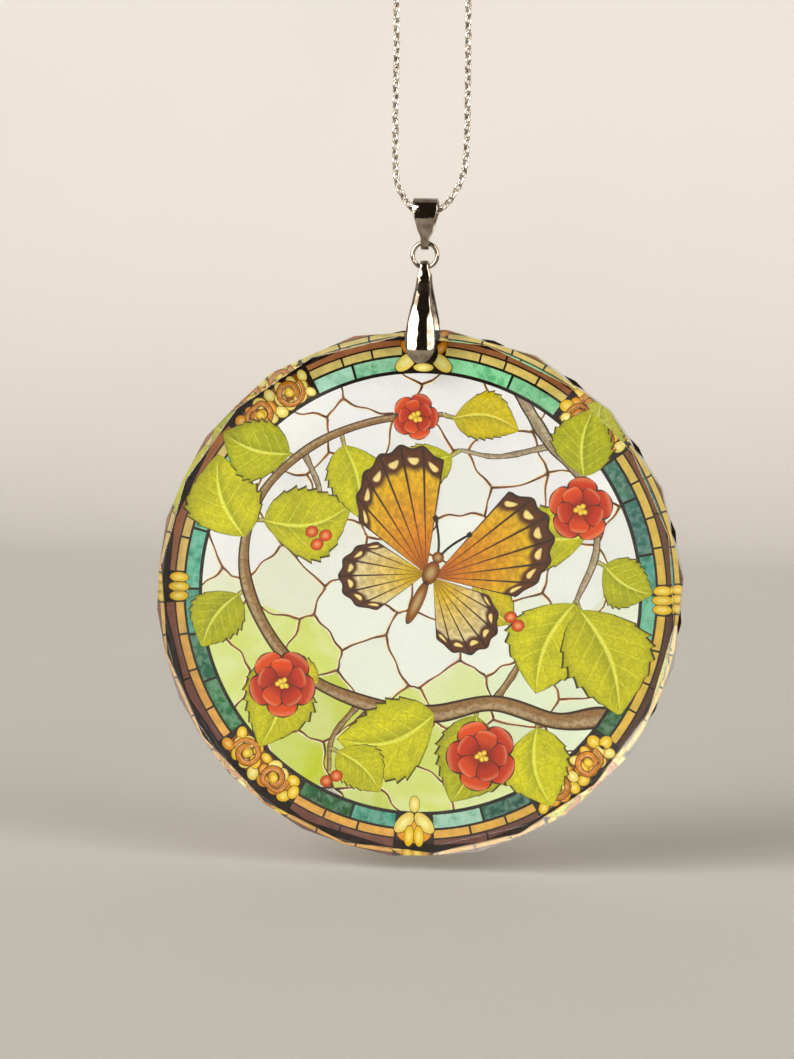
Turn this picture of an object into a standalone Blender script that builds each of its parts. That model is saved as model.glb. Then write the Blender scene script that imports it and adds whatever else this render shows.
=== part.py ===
"""A printed suncatcher: a clear faceted glass disc that hangs from a fine chain by silver-coloured fittings.

The disc turns on the two pins of a pinch clip. The clip hangs in a jump ring, the ring hangs in the
lower fold of a band, and the chain runs from side to side through the band's upper fold.

Metres, +Z up. The disc's bevelled front faces -Y, and the picture is printed on its flat back, so it is
seen through the glass. The origin is where a hook would carry the chain: on the underside of the top of
its loop. Everything hangs straight below it, in the plane Y = 0.
"""

import math

import bmesh
import bpy
import numpy as np
from mathutils import Matrix

MM = 0.001
COLLECTION = "glass_suncatcher"

# Glass disc: an 18-sided rim, and a ring of bevels round its front half a side out of step with it.
# The slope is how much wider a bevel gets for each millimetre of depth.
RIM_FACETS = 18
ACROSS_FLATS = 74.4 * MM
DISC_THICKNESS = 6.0 * MM
FACE_INSET = 1.0 * MM
BEVEL_SLOPE = 0.6
BEVEL_PHASE = math.radians(5)
HOLE_INSET = 2.85 * MM
HOLE_SIDES = 32

# Fits between the pieces
CLEARANCE = 0.3 * MM
PIN_CLEARANCE = 0.2 * MM
LEAF_CLEARANCE = 0.45 * MM

# Band: a strip folded into a closed loop, wide at the chain and narrow at the jump ring
BAND_TOP_Z = -36.7 * MM
BAND_HEIGHT = 7.32 * MM
BAND_METAL = 0.4 * MM
BAND_BORE_R = 1.15 * MM
BAND_TOP_HALF_WIDTH = 1.75 * MM
BAND_SHOULDER_HALF_WIDTH = 1.88 * MM
BAND_WAIST_HALF_WIDTH = 0.98 * MM
BAND_NECK_HALF_WIDTH = 0.56 * MM
BAND_SHOULDER_DROP = 1.6 * MM
BAND_WAIST_DROP = 4.8 * MM
BAND_NECK_DROP = 5.4 * MM

# Jump ring
RING_MEAN_R = 1.75 * MM
RING_WIRE_R = 0.32 * MM

# Pinch clip: one strip from the front leaf over the fold to the back leaf, and two pins
CLIP_METAL = 0.4 * MM
CLIP_DROP = 12.0 * MM
CLIP_NECK_SPREAD = 0.95 * MM
LEAF_HALF_WIDTH = 2.2 * MM
LEAF_NECK_HALF_WIDTH = 1.0 * MM
LEAF_FOLD_HALF_WIDTH = 0.62 * MM
LEAF_BELLY_HEIGHT = 1.3 * MM
LEAF_NECK_HEIGHT = 11.0 * MM
LEAF_END_LENGTH = 2.8 * MM
LEAF_CROWN = 0.5 * MM
LEAF_GRIP = 0.35 * MM
PIN_R = 0.6 * MM
PIN_REACH = 1.5 * MM

# Chain, as a plain round tube of the links' outer width
CHAIN_WIDTH = 1.2 * MM
CHAIN_STEP = 2 * CHAIN_WIDTH

# The chain's route in millimetres, as (x, z) at Y = 0: out of the band to the right, up, over and back
CHAIN_ROUTE = [
    (0.15, -38.60),
    (1.80, -38.32),
    (2.95, -37.45),
    (4.05, -35.90),
    (4.90, -34.20),
    (5.45, -32.00),
    (5.62, -29.50),
    (5.62, -24.00),
    (5.55, -16.00),
    (5.40, -9.00),
    (5.25, -4.60),
    (4.25, -1.55),
    (2.30, 0.15),
    (0.00, 0.60),
    (-2.20, 0.15),
    (-4.05, -1.55),
    (-4.85, -4.60),
    (-4.75, -10.00),
    (-4.60, -16.00),
    (-4.60, -24.00),
    (-4.52, -29.50),
    (-4.40, -33.00),
    (-4.05, -34.90),
    (-3.25, -36.50),
    (-2.40, -37.70),
    (-1.60, -38.36),
    (-0.15, -38.60),
]

# Places that follow from the sizes above, from the chain down to the disc
BAND_BORE_Z = BAND_TOP_Z - BAND_METAL - BAND_BORE_R
FOLD_BORE_R = RING_WIRE_R + CLEARANCE
BAND_FOLD_Z = BAND_TOP_Z - BAND_HEIGHT + BAND_METAL + FOLD_BORE_R
RING_Z = BAND_FOLD_Z - RING_MEAN_R
CLIP_FOLD_Z = RING_Z - RING_MEAN_R
PIN_Z = CLIP_FOLD_Z - CLIP_DROP
RIM_APOTHEM = ACROSS_FLATS / 2
FACE_APOTHEM = RIM_APOTHEM - FACE_INSET
DISC_DROP = RIM_APOTHEM - HOLE_INSET
LEAF_STAND = DISC_THICKNESS / 2 + LEAF_CLEARANCE + LEAF_CROWN + CLIP_METAL / 2

FRONT_VIEW = (math.pi / 2, 0, 0)
SIDE_VIEW = (math.pi / 2, 0, math.pi / 2)


def make_collection(name):
    made = bpy.data.collections.new(name)
    bpy.context.scene.collection.children.link(made)
    return made


def make_material(name, colour, roughness, metallic, transmission=0.0):
    made = bpy.data.materials.new(name)
    made.use_nodes = True
    shader = made.node_tree.nodes["Principled BSDF"]
    shader.inputs["Base Color"].default_value = (*colour, 1)
    shader.inputs["Roughness"].default_value = roughness
    shader.inputs["Metallic"].default_value = metallic
    shader.inputs["Transmission Weight"].default_value = transmission
    return made


def add_object(name, data, collection, material=None, location=(0, 0, 0), rotation=(0, 0, 0)):
    made = bpy.data.objects.new(name, data)
    made.location = location
    made.rotation_euler = rotation
    collection.objects.link(made)
    if material:
        data.materials.append(material)
    return made


def mark_cutter(cutter):
    cutter.hide_render = True
    cutter.display_type = "WIRE"
    return cutter


def add_boolean(target, cutter, operation):
    modifier = target.modifiers.new(cutter.name, "BOOLEAN")
    modifier.operation = operation
    modifier.object = cutter
    return modifier


def shade_smooth(made, sharp_angle):
    made.data.shade_smooth()
    made.data.set_sharp_from_angle(angle=sharp_angle)


def curve_to_mesh(curve_object, collection):
    """The same shape as a mesh object, with its loose caps welded on."""
    bpy.context.view_layer.update()
    evaluated = curve_object.evaluated_get(bpy.context.evaluated_depsgraph_get())
    mesh = bpy.data.meshes.new_from_object(evaluated)
    bm = bmesh.new()
    bm.from_mesh(mesh)
    bmesh.ops.remove_doubles(bm, verts=bm.verts, dist=1e-6)
    bmesh.ops.recalc_face_normals(bm, faces=bm.faces)
    bm.to_mesh(mesh)
    bm.free()
    name, place = curve_object.name, curve_object.matrix_world.copy()
    curve = curve_object.data
    bpy.data.objects.remove(curve_object)
    bpy.data.curves.remove(curve)
    made = add_object(name, mesh, collection)
    made.matrix_world = place
    return made


def flat_outline(name, outlines, half_depth, rotation, collection):
    """A flat plate: closed outlines in a plane, the second and later ones holes, given a thickness."""
    curve = bpy.data.curves.new(name, "CURVE")
    curve.dimensions = "2D"
    curve.fill_mode = "BOTH"
    curve.extrude = half_depth
    for outline in outlines:
        spline = curve.splines.new("POLY")
        spline.points.add(len(outline) - 1)
        for point, (u, v) in zip(spline.points, outline):
            point.co = (u, v, 0, 1)
        spline.use_cyclic_u = True
    made = add_object(name, curve, collection, rotation=rotation)
    return curve_to_mesh(made, collection)


def facet_cone(name, front_r, back_r, depth, phase, collection):
    """A many-sided cone or prism along Y. Each radius is to a corner, and the phase turns +X to +Z."""
    bm = bmesh.new()
    turn = Matrix.Rotation(-phase, 4, "Y") @ Matrix.Rotation(math.pi / 2, 4, "X")
    bmesh.ops.create_cone(
        bm,
        cap_ends=True,
        segments=RIM_FACETS,
        radius1=back_r,
        radius2=front_r,
        depth=depth,
        matrix=turn,
    )
    mesh = bpy.data.meshes.new(name)
    bm.to_mesh(mesh)
    bm.free()
    return add_object(name, mesh, collection)


def glass_disc(parts, cutters, material):
    """A prism for the rim, cut to a cone that widens backwards from the front face, and drilled."""
    corner = 1 / math.cos(math.pi / RIM_FACETS)
    half_facet = math.pi / RIM_FACETS
    face_r = FACE_APOTHEM * corner
    wide_r = (FACE_APOTHEM + DISC_THICKNESS * BEVEL_SLOPE) * corner
    made = facet_cone(
        "glass_disc",
        RIM_APOTHEM * corner,
        RIM_APOTHEM * corner,
        DISC_THICKNESS,
        BEVEL_PHASE + half_facet,
        parts,
    )
    made.data.materials.append(material)
    # The mesh is moved down in its own object, so that the object's origin is the pin's axis
    made.data.transform(Matrix.Translation((0, 0, -DISC_DROP)))
    made.location = (0, 0, PIN_Z)
    bevels = facet_cone("bevels", face_r, wide_r, DISC_THICKNESS, BEVEL_PHASE, cutters)
    bevels.location = (0, 0, PIN_Z - DISC_DROP)
    add_boolean(made, mark_cutter(bevels), "INTERSECT")
    bm = bmesh.new()
    bmesh.ops.create_cone(
        bm,
        cap_ends=True,
        segments=HOLE_SIDES,
        radius1=PIN_R + PIN_CLEARANCE,
        radius2=PIN_R + PIN_CLEARANCE,
        depth=2 * DISC_THICKNESS,
        matrix=Matrix.Rotation(math.pi / 2, 4, "X"),
    )
    drill_mesh = bpy.data.meshes.new("drill")
    bm.to_mesh(drill_mesh)
    bm.free()
    drill = add_object("drill", drill_mesh, cutters, location=(0, 0, PIN_Z))
    add_boolean(made, mark_cutter(drill), "DIFFERENCE")
    return made


def belt(top_r, top_z, low_r, low_z, arc_points=20):
    """The outline of a belt round two circles, one above the other, as (y, z) points."""
    lean = math.acos((top_r - low_r) / (top_z - low_z))
    over = np.linspace(-lean, lean, arc_points)
    under = np.linspace(lean, 2 * math.pi - lean, arc_points)
    y = np.concatenate([top_r * np.sin(over), low_r * np.sin(under)])
    z = np.concatenate([top_z + top_r * np.cos(over), low_z + low_r * np.cos(under)])
    return list(zip(y, z))


def bail_band(parts, cutters, material):
    """The folded loop, seen from the side, kept only inside its tapered outline, seen from the front."""
    made = flat_outline(
        "bail_band",
        [
            belt(BAND_BORE_R + BAND_METAL, BAND_BORE_Z, FOLD_BORE_R + BAND_METAL, BAND_FOLD_Z),
            belt(BAND_BORE_R, BAND_BORE_Z, FOLD_BORE_R, BAND_FOLD_Z),
        ],
        BAND_SHOULDER_HALF_WIDTH + CLEARANCE,
        SIDE_VIEW,
        parts,
    )
    made.data.materials.append(material)
    right = [
        (BAND_TOP_HALF_WIDTH, -CLEARANCE),
        (BAND_SHOULDER_HALF_WIDTH, BAND_SHOULDER_DROP),
        (BAND_WAIST_HALF_WIDTH, BAND_WAIST_DROP),
        (BAND_NECK_HALF_WIDTH, BAND_NECK_DROP),
        (BAND_NECK_HALF_WIDTH, BAND_HEIGHT + CLEARANCE),
    ]
    outline = [(x, BAND_TOP_Z - drop) for x, drop in right]
    outline += [(-x, z) for x, z in reversed(outline)]
    depth = BAND_BORE_R + BAND_METAL + CLEARANCE
    trim = flat_outline("band_outline", [outline], depth, FRONT_VIEW, cutters)
    add_boolean(made, mark_cutter(trim), "INTERSECT")
    return made


def jump_ring(parts, material):
    """A ring of round wire that stands in the plane Y = 0."""
    bpy.ops.mesh.primitive_torus_add(
        major_segments=40,
        minor_segments=12,
        major_radius=RING_MEAN_R,
        minor_radius=RING_WIRE_R,
        location=(0, 0, RING_Z),
        rotation=FRONT_VIEW,
    )
    made = bpy.context.object
    made.name = "jump_ring"
    made.data.materials.append(material)
    for collection in made.users_collection:
        collection.objects.unlink(made)
    parts.objects.link(made)
    shade_smooth(made, math.pi)
    return made


def smooth_route(route, samples=24):
    """A Catmull-Rom curve through the points, with its end directions taken from its end points."""
    route = np.asarray(route, float)
    padded = np.vstack([2 * route[0] - route[1], route, 2 * route[-1] - route[-2]])
    t = np.linspace(0, 1, samples, endpoint=False)[:, None]
    stretches = []
    for before, start, end, after in zip(padded, padded[1:], padded[2:], padded[3:]):
        stretches.append(
            start
            + 0.5 * t * (end - before)
            + t**2 * (before - 2.5 * start + 2 * end - 0.5 * after)
            + t**3 * (1.5 * start - 1.5 * end + 0.5 * after - 0.5 * before)
        )
    return np.vstack([*stretches, route[-1:]])


def even_points(path, step):
    """Points at even distances along a path, as near to the step as the path's length allows."""
    run = np.concatenate([[0], np.cumsum(np.linalg.norm(np.diff(path, axis=0), axis=1))])
    at = np.linspace(0, run[-1], max(2, round(run[-1] / step) + 1))
    return np.stack([np.interp(at, run, path[:, k]) for k in range(path.shape[1])], axis=1)


def leaf_half_width(height):
    """Half the strip's width at a height over the pins: an oval end, then a smooth taper to the neck."""
    rise = (height - LEAF_BELLY_HEIGHT) / (LEAF_NECK_HEIGHT - LEAF_BELLY_HEIGHT)
    rise = np.clip(rise, 0, 1)
    taper = LEAF_HALF_WIDTH + (LEAF_NECK_HALF_WIDTH - LEAF_HALF_WIDTH) * rise**2 * (3 - 2 * rise)
    end = np.clip((LEAF_BELLY_HEIGHT - height) / LEAF_END_LENGTH, 0, 1)
    oval = LEAF_HALF_WIDTH * np.sqrt(1 - end**2)
    fold = np.clip((height - LEAF_NECK_HEIGHT) / (CLIP_DROP - LEAF_NECK_HEIGHT), 0, 1)
    neck = LEAF_NECK_HALF_WIDTH + (LEAF_FOLD_HALF_WIDTH - LEAF_NECK_HALF_WIDTH) * fold
    return np.where(height < LEAF_BELLY_HEIGHT, oval, np.where(fold > 0, neck, taper))


def clip_path():
    """The strip's middle line as rows of (spread from the middle plane, height over the pins).

    It runs from the front leaf's tip up to the fold, over it, and down to the back leaf's tip.
    """
    fold_r = FOLD_BORE_R + CLIP_METAL / 2
    tip = LEAF_BELLY_HEIGHT - LEAF_END_LENGTH
    shape = smooth_route(
        [
            (LEAF_STAND - LEAF_GRIP, tip),
            (LEAF_STAND, 0.0),
            (LEAF_STAND + 0.1 * MM, 0.22 * CLIP_DROP),
            (LEAF_STAND - 0.35 * MM, 0.42 * CLIP_DROP),
            (LEAF_STAND - 1.45 * MM, 0.64 * CLIP_DROP),
            (CLIP_NECK_SPREAD + 0.25 * MM, 0.85 * CLIP_DROP),
            (CLIP_NECK_SPREAD - 0.1 * MM, 0.94 * CLIP_DROP),
            (fold_r, CLIP_DROP),
        ]
    )
    # Rows close together round the oval end, then even ones up to the fold
    sweep = np.radians([84, 76, 66, 55, 43, 30, 16])
    end_heights = LEAF_BELLY_HEIGHT - LEAF_END_LENGTH * np.sin(sweep)
    heights = np.concatenate([end_heights, np.linspace(LEAF_BELLY_HEIGHT, CLIP_DROP, 18)])
    spread = np.interp(heights, shape[:, 1], shape[:, 0])
    turn = np.radians(np.arange(15, 180, 15))
    over = np.stack([fold_r * np.cos(turn), CLIP_DROP + fold_r * np.sin(turn)], axis=1)
    front = np.stack([spread, heights], axis=1)
    back = np.stack([-spread, heights], axis=1)[::-1]
    return np.vstack([front, over, back])


def pinch_clip(parts, cutters, material, across=8):
    """A crowned strip carried along the clip's side view, thickened, with its two pins joined on."""
    path = clip_path()
    along = np.gradient(path, axis=0)
    along /= np.linalg.norm(along, axis=1)[:, None]
    outward = np.stack([along[:, 1], -along[:, 0]], axis=1)
    height = path[:, 1]
    half_width = leaf_half_width(np.minimum(height, CLIP_DROP))
    crown = LEAF_CROWN * (half_width / LEAF_HALF_WIDTH) ** 2
    u = np.linspace(-1, 1, across + 1)
    x = half_width[:, None] * u
    inset = crown[:, None] * u**2
    y = -(path[:, :1] - outward[:, :1] * inset)
    z = path[:, 1:] - outward[:, 1:] * inset
    verts = np.stack([x, y, z], axis=-1).reshape(-1, 3)
    rows, columns = len(path), across + 1
    corner = (np.arange(rows - 1)[:, None] * columns + np.arange(across)).reshape(-1)
    faces = np.stack([corner, corner + 1, corner + columns + 1, corner + columns], axis=1)
    mesh = bpy.data.meshes.new("pinch_clip")
    mesh.from_pydata(verts.tolist(), [], faces.tolist())
    made = add_object("pinch_clip", mesh, parts, material, location=(0, 0, PIN_Z))
    shell = made.modifiers.new("metal", "SOLIDIFY")
    shell.thickness = CLIP_METAL
    shell.offset = 0
    shell.use_even_offset = True
    for name, side in (("pin_front", -1), ("pin_back", 1)):
        start, end = side * LEAF_STAND, side * (DISC_THICKNESS / 2 - PIN_REACH)
        bm = bmesh.new()
        bmesh.ops.create_cone(
            bm,
            cap_ends=True,
            segments=24,
            radius1=PIN_R,
            radius2=PIN_R,
            depth=abs(start - end),
            matrix=Matrix.Rotation(math.pi / 2, 4, "X"),
        )
        pin_mesh = bpy.data.meshes.new(name)
        bm.to_mesh(pin_mesh)
        bm.free()
        pin = add_object(name, pin_mesh, cutters, location=(0, (start + end) / 2, PIN_Z))
        add_boolean(made, mark_cutter(pin), "UNION")
    return made


def chain(parts, material):
    """One tube along the chain, whose two ends meet inside the band."""
    points = even_points(smooth_route(np.array(CHAIN_ROUTE) * MM), CHAIN_STEP)
    curve = bpy.data.curves.new("chain", "CURVE")
    curve.dimensions = "3D"
    curve.bevel_depth = CHAIN_WIDTH / 2
    curve.bevel_resolution = 2
    curve.use_fill_caps = True
    spline = curve.splines.new("POLY")
    spline.points.add(len(points) - 1)
    for point, (x, z) in zip(spline.points, points):
        point.co = (x, 0, z, 1)
    return add_object("chain", curve, parts, material)


def main():
    for old in list(bpy.data.objects):
        bpy.data.objects.remove(old)
    parts = make_collection(COLLECTION)
    cutters = make_collection("cutters")
    glass = make_material("clear_glass", (0.95, 0.97, 0.96), 0.03, 0.0, transmission=1.0)
    plate = make_material("bright_plating", (0.72, 0.69, 0.65), 0.12, 1.0)
    links = make_material("chain_metal", (0.78, 0.76, 0.73), 0.22, 1.0)
    glass_disc(parts, cutters, glass)
    pinch_clip(parts, cutters, plate)
    jump_ring(parts, plate)
    bail_band(parts, cutters, plate)
    chain(parts, links)


main()
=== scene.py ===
# %% [markdown]
# # A printed glass suncatcher
# A clear faceted disc hangs from a fine chain by a pinch clip, a jump ring and a folded band. The frame's
# solids give every place and size. This lesson adds the looks: chain links, mirror-bright metal, clear
# glass and the picture printed on its back. Lengths are in millimetres times MM, as on a drawing. The
# picture's own are plain millimetres, and those of the stage and its lights are metres.

# %% Load the frame
import math

import bmesh
import bpy
import numpy as np
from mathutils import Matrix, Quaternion, Vector
from mathutils.geometry import delaunay_2d_cdt


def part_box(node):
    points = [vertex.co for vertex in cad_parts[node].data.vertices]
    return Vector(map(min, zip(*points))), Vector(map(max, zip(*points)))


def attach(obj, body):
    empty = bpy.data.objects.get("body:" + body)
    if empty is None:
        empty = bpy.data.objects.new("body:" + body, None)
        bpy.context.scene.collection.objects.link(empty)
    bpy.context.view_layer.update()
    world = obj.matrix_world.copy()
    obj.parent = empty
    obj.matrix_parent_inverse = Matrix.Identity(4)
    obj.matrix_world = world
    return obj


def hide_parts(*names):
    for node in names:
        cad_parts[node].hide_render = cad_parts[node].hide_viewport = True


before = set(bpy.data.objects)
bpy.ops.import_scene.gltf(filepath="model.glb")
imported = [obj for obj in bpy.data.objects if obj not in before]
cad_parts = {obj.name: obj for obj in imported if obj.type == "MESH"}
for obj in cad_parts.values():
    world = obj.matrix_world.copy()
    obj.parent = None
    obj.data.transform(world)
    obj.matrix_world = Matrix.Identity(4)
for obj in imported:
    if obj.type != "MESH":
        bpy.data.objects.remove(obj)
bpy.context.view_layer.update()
MM = 0.001


def node_box(name):
    """The lowest and the highest corner of one of the frame's solids."""
    return [np.array(corner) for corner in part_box(name)]


disc_low, disc_high = node_box("glass_disc")
DISC_CENTRE = (disc_low + disc_high) / 2
DISC_BACK = disc_high[1]
print("frame:", sorted(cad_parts), "disc centre (mm):", np.round(DISC_CENTRE / MM, 2))

# %% [markdown]
# ## The camera
# The view is from a little to the right and above, and leans slightly. A long lens from half a metre
# keeps the disc round. The lens follows from the height of the view.

# %% Camera
LOOK_AT = Vector((-3.2, 0.0, -83.75)) * MM
AZIMUTH = math.radians(7)
ELEVATION = math.radians(3.5)
ROLL = math.radians(1.15)
CAMERA_DISTANCE = 500 * MM
VIEW_HEIGHT = 150.7 * MM
SENSOR_HEIGHT = 36.0

camera_data = bpy.data.cameras.new("camera")
camera_data.sensor_fit = "VERTICAL"
camera_data.sensor_height = SENSOR_HEIGHT
camera_data.lens = SENSOR_HEIGHT * CAMERA_DISTANCE / VIEW_HEIGHT
camera_data.clip_start = 10 * MM
camera = bpy.data.objects.new("camera", camera_data)
level = math.cos(ELEVATION)
towards_camera = Vector((math.sin(AZIMUTH) * level, -math.cos(AZIMUTH) * level, math.sin(ELEVATION)))
camera.location = LOOK_AT + towards_camera * CAMERA_DISTANCE
camera.rotation_mode = "QUATERNION"
camera.rotation_quaternion = (-towards_camera).to_track_quat("-Z", "Y") @ Quaternion((0, 0, 1), ROLL)
bpy.context.scene.collection.objects.link(camera)
bpy.context.scene.camera = camera
print("lens (mm):", round(camera_data.lens, 1))

# %% [markdown]
# ## Surfaces from grids
# Every new piece is a grid of points worked out with numpy as whole arrays. These helpers make objects of
# grids. A closed shape's signed volume tells which way its faces point, and an inside-out one is turned.

# %% Grids into meshes
def grid_faces(rows, columns, wrap_rows=False, wrap_columns=False):
    """Four-sided faces of a rows by columns grid of points, joined round where a direction wraps."""
    r = np.arange(rows if wrap_rows else rows - 1)[:, None]
    c = np.arange(columns if wrap_columns else columns - 1)[None, :]
    here, right = r * columns + c, r * columns + (c + 1) % columns
    up = (r + 1) % rows * columns
    return np.stack([here, right, up + (c + 1) % columns, up + c], axis=-1).reshape(-1, 4)


def facing_out(points, faces):
    """The faces, turned round if their volume is below zero: the sum of corner triple products."""
    a, b, c, d = (points[faces[:, k]] for k in range(4))
    volume = np.einsum("ij,ij->i", a, np.cross(b, c)) + np.einsum("ij,ij->i", a, np.cross(c, d))
    return faces[:, ::-1] if volume.sum() < 0 else faces


def place_mesh(name, mesh, material, body=None, node=None, slot=None):
    """Makes a mesh an object with a finish, hangs it on what it rides on, and hides the frame's solid that
    it stands for.
    """
    mesh.materials.clear()
    mesh.materials.append(material)
    made = bpy.data.objects.new(name, mesh)
    bpy.context.scene.collection.objects.link(made)
    if body:
        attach(made, body)
    if node:
        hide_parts(node)
    print(name, len(mesh.vertices), "points,", len(mesh.polygons), "faces")
    return made


def add_piece(name, points, faces, *where, smooth=True):
    """One object from an array of points and a list of faces."""
    mesh = bpy.data.meshes.new(name)
    mesh.from_pydata(np.reshape(points, (-1, 3)).tolist(), [], faces, shade_flat=not smooth)
    mesh.update()
    return place_mesh(name, mesh, *where)


def add_closed_grid(name, points, *where):
    """One object from a grid of points that is joined round in both directions."""
    faces = grid_faces(*points.shape[:2], wrap_rows=True, wrap_columns=True)
    points = points.reshape(-1, 3)
    return add_piece(name, points, facing_out(points, faces).tolist(), *where)


# %% [markdown]
# ## Small helpers for node materials
# A material is a graph of nodes. Each method of this class adds a node, fills its inputs with values or
# links, and gives back its output. Colours are written as the eye reads them on a screen, 0 to 255.

# %% Node helpers
def colour(red, green, blue):
    """A screen colour of 0 to 255 as linear light: below 0.04 a straight line, above it a power of 2.4."""
    value = np.array([red, green, blue], float) / 255
    return np.where(value <= 0.04045, value / 12.92, ((value + 0.055) / 1.055) ** 2.4)


class Graph:
    """The node graph of a material or a world."""

    def __init__(self, owner):
        owner.use_nodes = True
        self.tree = owner.node_tree

    def fill(self, socket, value):
        """Links a socket to another, or sets its value. A colour gets 1 as its fourth number."""
        if isinstance(value, bpy.types.NodeSocket):
            self.tree.links.new(value, socket)
        else:
            socket.default_value = (*value.tolist(), 1.0) if isinstance(value, np.ndarray) else value

    def node(self, kind, inputs=None, output=0, **settings):
        """Adds a node, sets and fills it, and gives back one of its outputs."""
        made = self.tree.nodes.new("ShaderNode" + kind)
        for key, value in settings.items():
            setattr(made, key, value)
        for key, value in (inputs or {}).items():
            self.fill(made.inputs[key], value)
        return made.outputs[output]

    def on_shader(self, **inputs):
        """Fills the Principled shader's own sockets, which are named here with _ for a space."""
        for key, value in inputs.items():
            self.fill(self.tree.nodes["Principled BSDF"].inputs[key.replace("_", " ")], value)

    def calc(self, operation, a, b=0.0):
        return self.node("Math", {0: a, 1: b}, operation=operation)

    def plus(self, a, b):
        return self.calc("ADD", a, b)

    def times(self, a, b):
        return self.calc("MULTIPLY", a, b)

    def size(self, a):
        return self.calc("ABSOLUTE", a)

    def largest(self, a, *others):
        for other in others:
            a = self.calc("MAXIMUM", a, other)
        return a

    def from_half(self, a):
        """How far a value's part after the point is from a half, which repeats with every whole number."""
        return self.size(self.plus(self.calc("FRACT", a), -0.5))

    def fade(self, value, low, high, start=0.0, end=1.0):
        """Goes smoothly from start to end while the value goes from low to high, and stays there outside."""
        inputs = {0: value, 1: low, 2: high, 3: start, 4: end}
        return self.node("MapRange", inputs, interpolation_type="SMOOTHSTEP")

    def mix(self, factor, a, b, blend="MIX"):
        return self.node("Mix", {0: factor, 6: a, 7: b}, 2, data_type="RGBA", blend_type=blend)

    def shade(self, tint, *factors):
        """A colour whose red, green and blue are each multiplied by a factor."""
        return self.mix(1.0, tint, np.array(factors), "MULTIPLY")

    def brighten(self, tint, factor):
        """A colour multiplied by a value from another node."""
        grey = self.node("CombineColor", {0: factor, 1: factor, 2: factor})
        return self.mix(1.0, tint, grey, "MULTIPLY")

    def noise(self, scale, detail=3.0, stretch=(1, 1, 1), distortion=0.0):
        """Cloudy values between 0 and 1 on Object coordinates, stretched by a Mapping node."""
        place = self.node("TexCoord", output="Object")
        place = self.node("Mapping", {"Vector": place, "Scale": stretch})
        inputs = {"Vector": place, "Scale": scale, "Detail": detail, "Distortion": distortion}
        return self.node("TexNoise", inputs)

    def bump(self, height, distance):
        return self.node("Bump", {"Height": height, "Distance": distance, "Strength": 1.0})


def new_material(name, **plain):
    """A material with one Principled shader, whose constant values are set on its own sockets."""
    made = bpy.data.materials.new(name)
    graph = Graph(made)
    graph.on_shader(**plain)
    return made, graph


# %% [markdown]
# ## Silver-coloured metal
# A mirror has hardly a colour of its own, so what sells it is the wear: rubbing marks that change the
# roughness, and a faintly uneven surface that bends the reflections.

# %% Metal finishes
def plated_metal(name, pale, dull, smooth, rough, dent):
    """Clouds and upright rubbing marks fade the tint from pale to dull and the surface to rough."""
    made, g = new_material(name, Metallic=1.0)
    cloud = g.noise(900, 4)
    rubbed = g.noise(2600, 2, stretch=(1, 1, 0.15))
    worn = g.fade(g.plus(cloud, g.times(rubbed, 0.5)), 0.55, 1.0)
    roughness = g.fade(worn, 0.0, 1.0, smooth, rough)
    g.on_shader(Base_Color=g.mix(worn, pale, dull), Roughness=roughness, Normal=g.bump(cloud, dent))
    return made


# The plating's pale and dull tints are darker and browner than bare silver: painted dark reflection,
# standing in for the dim room that the clip, ring and band mirror.
bright_plating = plated_metal(
    "bright_plating", colour(180, 168, 150), colour(130, 115, 97), 0.03, 0.10, 0.012 * MM
)
chain_metal = plated_metal("chain_metal", colour(222, 213, 198), colour(122, 108, 92), 0.06, 0.22, 0.01 * MM)
print("metal finishes:", bright_plating.name, chain_metal.name)

# %% [markdown]
# ## The chain
# Something above the view carries the chain. Here its loop closes just above the view. The route is that
# of the frame's plain tube: a Catmull-Rom curve, which passes through every point with no kinks.

# %% The chain's route
CHAIN_WIDTH = 1.2 * MM
CHAIN_ROUTE = [  # x and z in millimetres
    (0.15, -38.60), (1.80, -38.32), (2.95, -37.45), (4.05, -35.90), (4.90, -34.20), (5.45, -32.00),
    (5.62, -29.50), (5.62, -24.00), (5.55, -16.00), (5.40, -9.00), (5.25, -4.60), (4.25, -1.55),
    (2.30, 0.15), (0.00, 0.60), (-2.20, 0.15), (-4.05, -1.55), (-4.85, -4.60), (-4.75, -10.00),
    (-4.60, -16.00), (-4.60, -24.00), (-4.52, -29.50), (-4.40, -33.00), (-4.05, -34.90),
    (-3.25, -36.50), (-2.40, -37.70), (-1.60, -38.36), (-0.15, -38.60),
]  # fmt: skip


def smooth_curve(points, samples=24):
    """A Catmull-Rom curve: between two points a cubic whose ends aim along their neighbours' line."""
    points = np.asarray(points, float)
    padded = np.vstack([2 * points[0] - points[1], points, 2 * points[-1] - points[-2]])
    t = np.linspace(0, 1, samples, endpoint=False)[:, None, None]
    before, start, end, after = padded[:-3], padded[1:-2], padded[2:-1], padded[3:]
    curve = (
        start
        + 0.5 * t * (end - before)
        + t**2 * (before - 2.5 * start + 2 * end - 0.5 * after)
        + t**3 * (1.5 * start - 1.5 * end + 0.5 * after - 0.5 * before)
    )
    return np.vstack([curve.transpose(1, 0, 2).reshape(-1, points.shape[1]), points[-1:]])


def run_length(path):
    """The distance along a path at each of its points: the running sum of its steps."""
    return np.concatenate([[0], np.cumsum(np.linalg.norm(np.diff(path, axis=0), axis=1))])


def points_at(path, at):
    """The points at given distances along a path, by straight interpolation between its points."""
    run = run_length(path)
    return np.stack([np.interp(at, run, path[:, k]) for k in range(path.shape[1])], axis=1)


def unit(steps):
    """Each row divided by its length."""
    return steps / np.linalg.norm(steps, axis=1)[:, None]


route = smooth_curve(np.array(CHAIN_ROUTE) * MM)
route = np.stack([route[:, 0], np.zeros(len(route)), route[:, 1]], axis=1)

# %% [markdown]
# The chain is made of oval wire links, each turned a quarter against the last. Pulled tight, the wires of
# two links touch, so their spacing is their length less four wire radii. More than eighty links repeat,
# so each has only a few dozen faces.

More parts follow.
